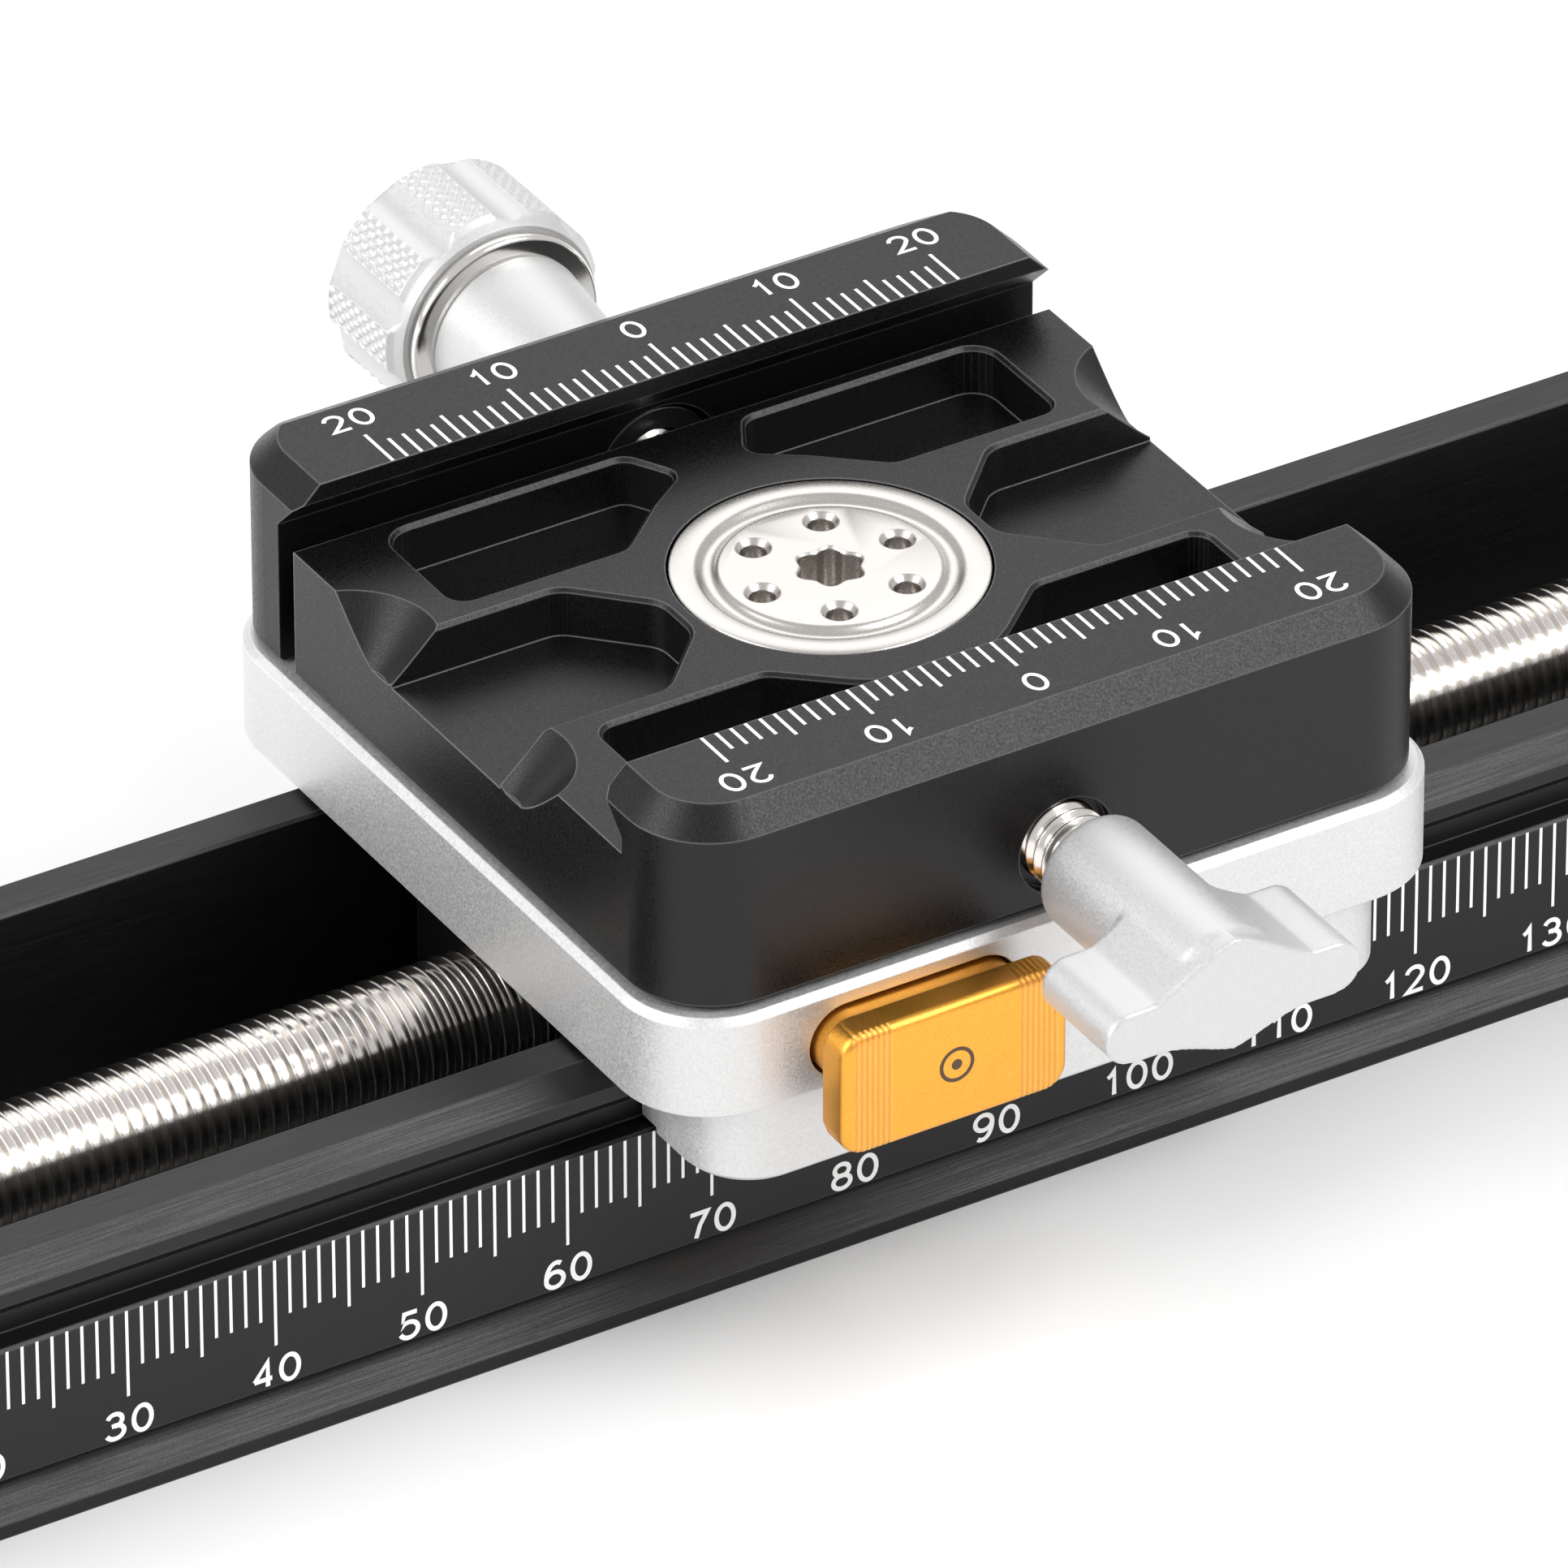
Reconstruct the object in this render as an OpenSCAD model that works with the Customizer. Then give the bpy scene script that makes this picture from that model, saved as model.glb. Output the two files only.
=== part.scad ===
// Macro focusing rail: a grooved aluminium rail with a lead screw, a sliding
// carriage with a quick release half nut, and a panning dovetail clamp on top.
// Frame: X runs along the rail, +Y points to the clamp's knob side, +Z is up.
// The origin is the middle of the foot's underside, on the tripod socket's axis.

/* [Rail] */
// Length of the extrusion between the end plates
rail_len = 200; // [150:1:400]
// Width of the dovetail foot
foot_w = 38; // [36:0.1:42]
// Height of the foot's vertical lip
foot_lip_h = 0.95; // [0.6:0.05:1.5]
// Height and run of the foot's 45 degree slope
foot_slope = 2.4; // [1.5:0.05:2.8]
// Height of the waist above the foot's slope
waist_h = 0.6; // [0.3:0.05:1.5]
// Thickness of the channel's side walls at the scale faces
side_wall_t = 4.65; // [4:0.05:5.5]
// Height of a scale face
face_h = 9.35; // [8:0.05:14]
// Depth of the side groove from the scale face
groove_depth = 1.65; // [1:0.05:2.2]
// Height of the groove's vertical root
groove_h = 1.4; // [1:0.05:2]
// Height and run of the undercut below the rail's top lip
undercut = 1.4; // [0.8:0.05:1.6]
// Height of the rail's top lip
lip_h = 0.95; // [0.5:0.05:1.5]
// Height and run of the 45 degree bevel on the rail's top
top_bevel = 1.5; // [0.8:0.05:2]
// Width of the screw channel
channel_w = 28.5; // [26:0.1:29.5]
// Thickness of the channel's floor
floor_t = 4.6; // [4.2:0.1:5.4]
// Chamfer along the long edges
edge_chamfer = 0.2; // [0.1:0.05:0.3]
// Tap drill diameter of the small tripod threads in the foot
small_tap_d = 5.1; // [5:0.1:5.3]
// Distance of each small tripod thread from the middle
small_tap_x = 50; // [25:1:60]

/* [Tripod insert] */
// Tap drill diameter of the large tripod thread
socket_d = 7.94; // [7.8:0.02:8.1]
// Outer diameter of the insert's body
insert_d = 12.6; // [11.5:0.1:13.5]
// Diameter of the insert's flange in the channel
insert_flange_d = 15; // [14.4:0.1:17]
// Thickness of the insert's flange
insert_flange_t = 1.4; // [1:0.1:1.6]

/* [Lead screw] */
// Thread crest diameter
screw_d = 8; // [7:0.1:9]
// Height of the screw's axis above the foot
screw_z = 11.25; // [11:0.05:12]
// Diameter of the turned journals
journal_d = 6; // [5:0.1:6.4]
// Thickness of a thrust washer
washer_t = 0.5; // [0.3:0.1:1]
// Outer diameter of a thrust washer
washer_d = 11; // [9:0.1:12]
// Thickness of a retaining clip
clip_t = 0.6; // [0.4:0.1:0.7]

/* [End plates] */
// Thickness of an end plate
end_t = 10; // [8:0.5:14]
// How far an end plate stands out past the rail on each side
end_side = 1.5; // [1:0.1:3]
// Radius of an end plate's corners
end_corner_r = 3; // [1.5:0.1:4]
// Height of an end plate's underside above the foot's underside
end_bottom_z = 0.2; // [0.1:0.05:0.3]
// Height of an end plate's top above the rail's top
end_rise = 0.8; // [0.4:0.1:1]
// Chamfer on an end plate's outer face
end_chamfer = 0.8; // [0.4:0.1:1.2]
// Outer diameter of a bearing bush
bush_d = 9; // [8.4:0.1:10]
// Diameter of a bearing bush's flange
bush_flange_d = 12; // [11:0.1:12.6]
// Thickness of a bearing bush's flange
bush_flange_t = 1.4; // [1:0.1:1.8]
// Diameter of a rubber bumper
bumper_d = 5; // [4:0.1:5.4]
// Height of a bumper inside the channel
bumper_t = 6.2; // [5.6:0.1:6.3]
// Distance of a bumper from the screw's axis
bumper_y = 9.6; // [9.4:0.1:10]
// Diameter of the cap over the screw's left end
cap_d = 11; // [10:0.1:13]
// Thickness of that cap
cap_t = 1.6; // [1:0.1:2.5]
// Shank diameter of the end plate screws
end_screw_d = 2.5; // [2:0.1:2.5]
// Head diameter of the end plate screws
end_screw_head_d = 4.4; // [3.8:0.1:4.4]
// Depth that an end plate screw reaches into the rail
end_screw_reach = 8; // [6:0.5:14]

/* [Drive knob] */
// Outer diameter of the drive knob
drive_d = 16.8; // [15:0.1:17]
// Length of the drive knob's fluted body
drive_len = 12; // [10:0.5:18]
// Diameter of the drive knob's neck
drive_neck_d = 11; // [10:0.1:13]
// Length of the drive knob's neck
drive_neck_len = 3.6; // [3.4:0.1:6]
// Diameter of the drive knob's set screw
set_screw_d = 3; // [2.5:0.1:3]

/* [Carriage] */
// How far the carriage plate stands out from the clamp on each side
plate_border = 0.8; // [0.5:0.1:1]
// Thickness of the carriage plate
plate_t = 6.85; // [6.6:0.05:9]
// Radius of the carriage plate's corners
plate_corner_r = 6; // [5.8:0.1:8]
// Chamfer on the plate's upper edges
plate_chamfer = 0.45; // [0.2:0.05:0.8]
// Chamfer on the plate's lower edges
plate_low_chamfer = 0.15; // [0.1:0.05:0.4]
// Gap between the rail's top and the carriage plate
ride_gap = 0.3; // [0.2:0.05:0.5]
// Distance from a skirt's end to the plate's end
skirt_inset = 3.8; // [3.4:0.1:6]
// Thickness of a skirt beside the rail's scale face
skirt_t = 7.6; // [7:0.1:7.8]
// Radius of the skirts' corners
skirt_corner_r = 4.5; // [2:0.1:5]
// How far a skirt hangs below the top of the rail's scale face
skirt_drop = 0.5; // [0.3:0.05:1]
// Clearance between the skirts and the rail
skirt_gap = 0.3; // [0.2:0.05:0.4]
// Width of a glide strip
glide_w = 2.3; // [1.5:0.1:2.5]
// Thickness of a glide strip
glide_t = 0.8; // [0.6:0.05:1]
// Thickness of the gib strip
gib_t = 2.1; // [1.8:0.05:2.4]
// Diameter of a gib screw
gib_screw_d = 3; // [2:0.1:3]
// Distance between two gib screws
gib_screw_pitch = 15; // [10:0.5:18]

/* [Nut housing] */
// Length of the nut housing along the rail
housing_len = 43; // [42:0.1:43.4]
// Gap between the nut housing and each wall of the rail's channel
housing_side_gap = 1.25; // [0.75:0.05:1.5]
// Clearance between the housing's tunnel and the thread
tunnel_gap = 1; // [0.6:0.1:1.2]
// Clearance between the housing and the tripod insert
housing_lift = 0.6; // [0.3:0.1:1]
// Shank diameter of the housing screws
housing_screw_d = 3; // [2.5:0.1:3]
// Head diameter of the housing screws
housing_screw_head_d = 5.5; // [4.8:0.1:5.6]
// Distance of the housing screws from the middle along the rail
housing_screw_x = 18.6; // [18.4:0.1:19.2]
// Distance of the housing screws from the middle across the rail
housing_screw_y = 9.4; // [9:0.1:9.8]

/* [Half nut] */
// Length of the half nut along the screw
nut_len = 11; // [9:0.1:12]
// Width of the half nut
nut_w = 13; // [12.8:0.1:13.6]
// Lift of the half nut when the button is pressed
nut_lift = 0.75; // [0.6:0.05:0.8]
// Outer diameter of a nut spring
nut_spring_d = 2.6; // [2.2:0.1:2.8]
// Distance of a nut spring from the screw's axis
nut_spring_y = 4.7; // [4.6:0.05:4.8]

/* [Release button] */
// Distance of the button to the left of the middle
button_x = 11; // [10:0.1:11.3]
// Width of the button's head
button_w = 15.6; // [15:0.1:17]
// Height of the button's head
button_h = 8.5; // [7.8:0.1:8.6]
// Thickness of the button's head
button_t = 2.4; // [2:0.1:3]
// Radius of the head's corners
button_corner_r = 1.6; // [0.8:0.1:2]
// Free space between the head and the plate at rest
button_gap = 2.4; // [2.2:0.05:2.6]
// Travel of the button
button_stroke = 1.5; // [1:0.05:1.5]
// Width of the button's neck
button_neck_w = 14; // [13:0.1:14.2]
// Height of the button's neck
button_neck_h = 4.6; // [4.4:0.1:4.8]
// Clearance around the neck in the plate
neck_gap = 0.25; // [0.1:0.05:0.3]
// Height of the neck's axis above the plate's underside
neck_rise = 3.05; // [2.95:0.05:3.1]
// Height of the head's axis above the plate's underside
button_rise = 2.35; // [2.3:0.05:2.5]

/* [Clamp] */
// Length and width of the clamp's body
clamp_w = 53.6; // [52:0.1:54]
// Height of the clamp's floor above its underside
clamp_floor_h = 8.9; // [8.7:0.05:10]
// Height of the jaws above the floor
jaw_h = 4.53; // [4:0.01:6]
// Radius of the clamp's corners
clamp_corner_r = 5.6; // [4:0.1:7]
// Chamfer around the jaws' tops
jaw_chamfer = 1.7; // [1:0.05:2]
// Run of the slope along the moving jaw's outer edge
jaw_slope_run = 2.65; // [2.2:0.05:3]
// Distance from the pivot to the fixed jaw's lip
near_lip_y = 18.2; // [17:0.05:19]
// Distance from the pivot to the moving jaw's lip
far_lip_y = 17.65; // [16:0.05:18]
// Height of a lip's vertical edge
lip_edge_h = 1.2; // [0.8:0.05:1.6]
// Run of the 45 degree undercut behind a lip
lip_run = 2.2; // [1.8:0.05:2.4]
// Distance from the pivot to the body's far face
body_far_y = 18.1; // [17.6:0.05:18.5]
// Gap between the body and the moving jaw
jaw_gap = 1.9; // [1.8:0.05:2.5]
// Distance from the pivot to the moving jaw's outer face
jaw_outer_y = 27.4; // [27:0.1:30]
// Travel of the moving jaw toward the body
jaw_close = 1.5; // [1:0.05:1.5]
// Gap between the plate and the clamp's underside
clamp_gap = 0.2; // [0.15:0.05:0.4]
// Depth of the lightening pockets
pocket_depth = 3.3; // [2:0.05:3.4]
// Chamfer around the pockets
pocket_chamfer = 0.25; // [0.1:0.05:0.4]
// Distance from the pivot to the long pockets' ends
pocket_end_x = 21.25; // [20:0.05:22]
// Distance from the pivot to the long pockets' inner edge
pocket_inner_y = 8.1; // [8:0.05:9]
// Distance from the pivot to the long pockets' outer edge
pocket_outer_y = 17; // [16:0.05:17.2]
// Half the gap between two long pockets at their tips
pocket_tip_x = 2.7; // [2.6:0.05:3.5]
// Half the width of the side pockets
side_pocket_y = 6.4; // [5:0.05:6.8]
// Distance from the pivot to the side pockets' tips
side_pocket_x = 10.75; // [10.6:0.05:12]
// Top radius of the scoops beside the side pockets
scoop_r = 5.6; // [5:0.1:6]
// Distance of a scoop's centre from the rail's middle plane
scoop_y = 7.9; // [7:0.1:8.2]
// Distance of a scoop's centre beyond the clamp's end face
scoop_out = 2.1; // [1.5:0.1:2.5]

/* [Pivot] */
// Diameter of the steel disc
disc_d = 19.54; // [18:0.02:20.4]
// Thickness of the steel disc
disc_t = 2; // [1.9:0.05:2.1]
// Gap around the disc
disc_gap = 0.13; // [0.05:0.01:0.2]
// Height of the raised step in the disc's middle
disc_step_h = 0.25; // [0.1:0.05:0.5]
// Diameter of the raised step
disc_step_d = 13.6; // [12.6:0.1:15]
// Diameter of the pivot's shank
shank_d = 12; // [11:0.1:12.4]
// Diameter of the pivot's threaded end
spigot_d = 8; // [7:0.1:8]
// Length of the pivot's threaded end
spigot_len = 6.2; // [5:0.1:6.4]
// Diameter across the drive socket's lobes
socket_lobe_d = 4.6; // [4:0.1:5]
// Depth of the drive socket
socket_depth = 3; // [2:0.1:4]
// Diameter of the six pin holes
pin_hole_d = 2.2; // [1.8:0.1:2.4]
// Diameter of the pin holes' circle
pin_circle_d = 10.1; // [9.6:0.1:10.6]
// Depth of the pin holes
pin_hole_depth = 1.6; // [1:0.1:1.8]
// Outer diameter of the washer under the clamp
pivot_washer_d = 20; // [18:0.1:22]
// Thickness of the washer under the clamp
pivot_washer_t = 0.6; // [0.4:0.05:0.8]

/* [Wing screw] */
// Height of the wing screw's axis above the clamp's underside
wing_rise = 3.85; // [3.8:0.05:4]
// Diameter of the wing screw's stud
wing_stud_d = 5.3; // [4.6:0.1:5.4]
// Visible length of the stud in front of the clamp
wing_stud_out = 3; // [2.5:0.1:4]
// Diameter of the wing screw's barrel
barrel_d = 7.7; // [7.4:0.1:7.7]
// Length of the barrel behind the wings
barrel_len = 8.2; // [8.2:0.1:12]
// Depth of the wings along the axis
wing_depth = 7.5; // [5:0.1:9]
// Distance from tip to tip
wing_span = 17.6; // [16:0.1:18]
// Thickness of a wing at its tip
wing_tip_t = 3.5; // [3:0.1:3.7]
// Rounding of the wings' edges
wing_edge_r = 0.8; // [0.5:0.1:0.9]
// Length of the brass brake pad
pad_len = 4.8; // [3:0.1:6]

/* [Clamp knob] */
// Height of the clamp knob's axis above the clamp's underside
knob_rise = 5.2; // [5.15:0.05:5.2]
// Diameter of the clamp knob's stud
knob_stud_d = 5; // [4:0.1:5]
// Outer diameter of the fluted body
knob_d = 15.2; // [14.6:0.1:15.6]
// Length of the fluted body
knob_len = 8.9; // [8:0.1:12]
// Length of the neck between the jaw and the polished ring
neck_len = 10.6; // [10.5:0.1:12]
// Diameter of the neck at the jaw
neck_jaw_d = 8.4; // [8:0.1:9]
// Diameter of the neck at the polished ring
neck_ring_d = 10.8; // [10:0.1:10.8]
// Diameter of the polished ring
ring_d = 13.2; // [12.4:0.1:13.3]
// Width of the polished ring
ring_t = 1; // [0.6:0.1:1.4]
// Number of smooth flutes
flutes = 9; // [6:1:12]
// Radius of a flute's hollow
flute_r = 2.2; // [2:0.1:3]
// Depth of a flute
flute_depth = 0.5; // [0.3:0.05:0.8]
// Diameter of the moving jaw's guide pins
guide_pin_d = 4; // [3:0.1:4]
// Distance of a guide pin from the middle
guide_pin_x = 14; // [10:0.1:20]
// Height of the guide pins above the clamp's underside
guide_pin_rise = 2.7; // [2.6:0.05:3]
// Depth of the guide pins in the body at rest
guide_pin_reach = 12.6; // [11:0.1:14]

/* [Fits] */
// Radial clearance of a running fit
run_fit = 0.05; // [0.02:0.01:0.08]
// Clearance between faces that slide on each other
slide_fit = 0.1; // [0.05:0.01:0.15]
// Clearance between a piece and its seat
seat_fit = 0.02; // [0.01:0.01:0.05]

/* [Hidden] */
$fn = 64;

// Cutters reach this far past the faces that they open
over = 1;

// Heights of the rail's profile
foot_top_z = foot_lip_h + foot_slope;
face_low_z = foot_top_z + waist_h;
face_top_z = face_low_z + face_h;
groove_top_z = face_top_z + groove_h;
lip_low_z = groove_top_z + undercut;
lip_top_z = lip_low_z + lip_h;
rail_top_z = lip_top_z + top_bevel;
// Half widths of the rail's profile
foot_y = foot_w / 2;
waist_y = foot_y - foot_slope;
face_y = channel_w / 2 + side_wall_t;
groove_y = face_y - groove_depth;
lip_y = groove_y + undercut;
top_y = lip_y - top_bevel;
channel_y = channel_w / 2;
end_w = 2 * (max(foot_y, face_y) + end_side);

// Carriage plate, its skirts and the nut housing
plate_w = clamp_w + 2 * plate_border;
skirt_len = plate_w - 2 * skirt_inset;
housing_w = channel_w - 2 * housing_side_gap;

// Carriage and clamp levels
plate_low_z = rail_top_z + ride_gap;
plate_top_z = plate_low_z + plate_t;
clamp_low_z = plate_top_z + clamp_gap;
clamp_floor_z = clamp_low_z + clamp_floor_h;
jaw_top_z = clamp_floor_z + jaw_h;

// Lead screw along X
rail_end_x = rail_len / 2;
end_out_x = rail_end_x + end_t;
bush_face_x = rail_end_x - bush_flange_t - seat_fit;
washer_face_x = bush_face_x - washer_t - seat_fit;
thread_end_x = washer_face_x - seat_fit;
clip_x = end_out_x + seat_fit;
drive_x = clip_x + clip_t + seat_fit;
drive_wall_t = 4;
drive_end_x = drive_x + drive_neck_len + drive_len;
journal_end_x = drive_end_x - drive_wall_t;

// End plate screws sit in the side walls and in the floor
wall_screw_y = (channel_y + face_y) / 2;
wall_screw_z = 8.6;
floor_screw_y = 10.5;
floor_screw_z = floor_t / 2 + 0.5;
end_screw_spots = [
    [-wall_screw_y, wall_screw_z],
    [wall_screw_y, wall_screw_z],
    [-floor_screw_y, floor_screw_z],
    [floor_screw_y, floor_screw_z]
];
end_screw_head_t = 2.5;

// Half nut, its fork and its pocket
nut_x = -button_x;
nut_low_z = screw_z + 0.2;
fork_low_z = plate_low_z + 1.35;
fork_top_z = fork_low_z + 2.5;
nut_body_top_z = plate_low_z - nut_lift - 0.1;
nut_stem_w = 3;
nut_head_w = 7.6;
nut_head_y = 2.5;
nut_head_t = 1.2;
nut_head_low_z = fork_top_z - nut_lift + slide_fit;
nut_head_top_z = nut_head_low_z + nut_head_t;
pocket_roof_z = nut_head_top_z + nut_lift + 0.35;
pocket_half_x = 4.1;
pocket_half_y = 7;
nut_spring_low_z = screw_z + 3.05;
spring_wire = 0.4;
fork_half_x = pocket_half_x - 2 * slide_fit;
fork_gap_x = 1.7;
fork_root_y = 9;
// The fork's ramp rises away from its tips, by the nut's lift over the button's stroke
fork_slope = nut_lift / button_stroke;
ramp_top_y = -nut_head_y - button_stroke;
prong_tip_z = fork_low_z + 0.4;
prong_tip_y = ramp_top_y + (fork_top_z - prong_tip_z) / fork_slope;

// Skirts and gib
skirt_low_z = face_top_z - skirt_drop;
skirt_in_y = face_y + skirt_gap;
skirt_y = skirt_in_y + skirt_t;
hook_y = groove_y + skirt_gap;
hook_low_z = face_top_z + skirt_gap;
gib_out_y = lip_y + skirt_gap + gib_t;
gib_low_z = hook_low_z + slide_fit;
gib_top_z = plate_low_z - slide_fit;
gib_len = skirt_len - 3;
skirt_chamfer = 0.4;
gib_screw_z = (gib_low_z + plate_low_z) / 2;
gib_screw_xs = [-gib_screw_pitch, 0, gib_screw_pitch];

// Release button along Y, clear of the plate's side and of the near skirt
button_z = plate_low_z + button_rise;
neck_z = plate_low_z + neck_rise;
button_back_y = -max(plate_w / 2, skirt_y) - button_gap;
neck_hole_end_y = -skirt_in_y - 0.2;
neck_end_y = neck_hole_end_y - button_stroke - 0.3;

// Glide strips on the rail's flat top
glide_y = (top_y + channel_y) / 2;
glide_len = plate_w - 6;
glide_seat_x = glide_len / 2 + slide_fit;
glide_seat_half_w = glide_w / 2 + slide_fit;
glide_low_z = rail_top_z + seat_fit;
glide_top_z = glide_low_z + glide_t;

// Nut housing
housing_low_z = floor_t + insert_flange_t + housing_lift;
housing_head_t = 3;
housing_screw_low_z = housing_low_z + 4;

// Pivot
disc_low_z = clamp_floor_z - disc_t;
disc_r = disc_d / 2;
shank_r = shank_d / 2;
pivot_washer_low_z = clamp_low_z - seat_fit - pivot_washer_t;

// Wing screw along Y, from the shank to the wings
wing_z = clamp_low_z + wing_rise;
pad_tip_y = -shank_r - 2 * run_fit;
pad_end_y = pad_tip_y - pad_len;
barrel_y = -clamp_w / 2 - wing_stud_out;
wing_y = barrel_y - barrel_len;
wing_end_y = wing_y - wing_depth;
wing_bore_len = 8;

// Clamp knob along Y, from the jaw to its outer end
knob_z = clamp_low_z + knob_rise;
jaw_in_y = body_far_y + jaw_gap;
neck_y = jaw_outer_y + 0.2;
ring_y = neck_y + neck_len;
knob_y = ring_y + ring_t;
knob_end_y = knob_y + knob_len;
stud_end_wall = 0.2;
stud_tip_gap = 0.4;
stud_bore_y = disc_r + disc_gap + stud_end_wall;
stud_tip_y = stud_bore_y + stud_tip_gap + jaw_close;
stud_end_y = knob_end_y - 3.5;
clip_groove_y = jaw_in_y + 0.4;
guide_pin_z = clamp_low_z + guide_pin_rise;
guide_seat_len = 5.2 + seat_fit;
guide_pin_end_y = jaw_in_y + guide_seat_len - seat_fit;
guide_pin_tip_y = body_far_y - guide_pin_reach;

// Colours of the finishes
black_anodised = [0.09, 0.09, 0.1];
silver_anodised = [0.86, 0.86, 0.86];
steel = [0.7, 0.7, 0.72];
dark_steel = [0.3, 0.3, 0.32];
brass_colour = [0.78, 0.62, 0.3];
orange_anodised = [0.93, 0.55, 0.08];
rubber_black = [0.12, 0.12, 0.12];
polymer_white = [0.9, 0.9, 0.86];

// Turns a solid that stands on Z so that it points along +X
module along_x() {
    rotate([0, 90, 0]) children();
}

// Turns a solid that stands on Z so that it points along +Y
module along_y() {
    rotate([-90, 0, 0]) children();
}

// Extrudes a Y-Z outline along X, centred on X
module profile_x(len) {
    rotate([90, 0, 90]) linear_extrude(len, center = true) children();
}

// Extrudes an X-Z outline along Y from y0 to y1
module profile_y(y0, y1) {
    translate([0, y1, 0]) rotate([90, 0, 0]) linear_extrude(y1 - y0) children();
}

// A bar with its corner points given
module bar(lo, hi) {
    translate(lo) cube(hi - lo);
}

// Edge outline of a slab of half width w with chamfered edges
function slab_edge(w, h, top, bottom) = [
    [-w + bottom, 0], [w - bottom, 0], [w, bottom], [w, h - top],
    [w - top, h], [-w + top, h], [-w, h - top], [-w, bottom]
];

// A rounded slab standing on z = 0 with 45 degree chamfers
module slab(half_x, half_y, h, r, top, bottom) {
    profile_x(2 * (half_x - r)) polygon(slab_edge(half_y, h, top, bottom));
    profile_y(r - half_y, half_y - r) polygon(slab_edge(half_x, h, top, bottom));
    for (sx = [-1, 1], sy = [-1, 1])
        translate([sx * (half_x - r), sy * (half_y - r), 0])
            rotate_extrude()
                polygon([[0, 0], [r - bottom, 0], [r, bottom], [r, h - top], [r - top, h], [0, h]]);
}

// Arc that rounds the corner at b between a and c
function unit(v) = v / norm(v);
function corner_arc(a, b, c, r, steps = 6) =
    let (
        u = unit(a - b),
        v = unit(c - b),
        half = acos(u * v) / 2,
        middle = b + unit(u + v) * r / sin(half),
        first = b + u * r / tan(half) - middle,
        last = b + v * r / tan(half) - middle,
        from = atan2(first[1], first[0]),
        sweep = atan2(first[0] * last[1] - first[1] * last[0], first * last)
    )
    [for (i = [0:steps]) middle + r * [cos(from + sweep * i / steps), sin(from + sweep * i / steps)]];

// Outline through the given corners, each rounded by its own radius
function rounded(corners, radii) = [
    for (i = [0:len(corners) - 1])
        each corner_arc(
            corners[(i + len(corners) - 1) % len(corners)],
            corners[i],
            corners[(i + 1) % len(corners)],
            radii[i]
        )
];

// Fluted knob body pointing along +Z with a neck side at z = 0
module fluted_body(d, len, near_d, bevel) {
    r = d / 2;
    difference() {
        rotate_extrude()
            polygon([
                [0, 0], [near_d / 2, 0], [r - 0.35, bevel * 0.6], [r, bevel],
                [r, len - 0.9], [r - 0.9, len], [0, len]
            ]);
        for (i = [0:flutes - 1])
            rotate(i * 360 / flutes)
                translate([r + flute_r - flute_depth, 0, -over])
                    cylinder(r = flute_r, h = len + 2 * over);
    }
}

// The +Y half of the rail's outline, from the foot's edge to the channel's corner
function rail_side() = [
    [foot_y, 0],
    [foot_y, foot_lip_h],
    [waist_y, foot_top_z],
    [waist_y, face_low_z],
    [face_y - edge_chamfer, face_low_z],
    [face_y, face_low_z + edge_chamfer],
    [face_y, face_top_z - edge_chamfer],
    [face_y - edge_chamfer, face_top_z],
    [groove_y, face_top_z],
    [groove_y, groove_top_z],
    [lip_y, lip_low_z],
    [lip_y, lip_top_z],
    [top_y, rail_top_z],
    [channel_y + edge_chamfer, rail_top_z],
    [channel_y, rail_top_z - edge_chamfer],
    [channel_y, floor_t]
];
function mirrored(outline) = [for (i = [len(outline) - 1:-1:0]) [-outline[i][0], outline[i][1]]];

module rail_extrusion() {
    color(black_anodised)
        difference() {
            profile_x(rail_len) polygon(concat(rail_side(), mirrored(rail_side())));
            translate([0, 0, -over])
                cylinder(d = insert_d + 2 * seat_fit, h = floor_t + 2 * over);
            for (sx = [-1, 1])
                translate([sx * small_tap_x, 0, -over])
                    cylinder(d = small_tap_d, h = floor_t + 2 * over);
            for (sx = [-1, 1], spot = end_screw_spots)
                translate([sx * (rail_end_x + over), spot[0], spot[1]])
                    rotate([0, -90 * sx, 0])
                        cylinder(d = end_screw_d, h = end_screw_reach + over + 1);
        }
}

module tripod_insert() {
    color(steel)
        difference() {
            union() {
                cylinder(d = insert_d, h = floor_t + insert_flange_t);
                translate([0, 0, floor_t]) cylinder(d = insert_flange_d, h = insert_flange_t);
            }
            translate([0, 0, -over]) cylinder(d = socket_d, h = floor_t + insert_flange_t + 2 * over);
        }
}

// An end plate for the right end, with its inner face at the rail's end
module end_plate() {
    low = end_bottom_z;
    high = rail_top_z + end_rise;
    mid = (low + high) / 2;
    difference() {
        translate([rail_end_x, 0, mid])
            rotate([90, 0, 90])
                slab(end_w / 2, (high - low) / 2, end_t, end_corner_r, end_chamfer, 0);
        translate([rail_end_x - over, 0, screw_z])
            along_x() cylinder(d = bush_d + 2 * seat_fit, h = end_t + 2 * over);
        for (spot = end_screw_spots)
            translate([rail_end_x - over, spot[0], spot[1]])
                along_x() {
                    cylinder(d = end_screw_d + 0.2, h = end_t + 2 * over);
                    translate([0, 0, over + end_t - end_screw_head_t - 0.2])
                        cylinder(d = end_screw_head_d + 0.2, h = end_screw_head_t + 2 * over);
                }
        for (sy = [-1, 1])
            translate([rail_end_x - over, sy * bumper_y, screw_z])
                along_x() cylinder(d = bumper_d * 0.6, h = 3 + over);
    }
}

module end_plate_right() {
    color(black_anodised) end_plate();
}

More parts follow.
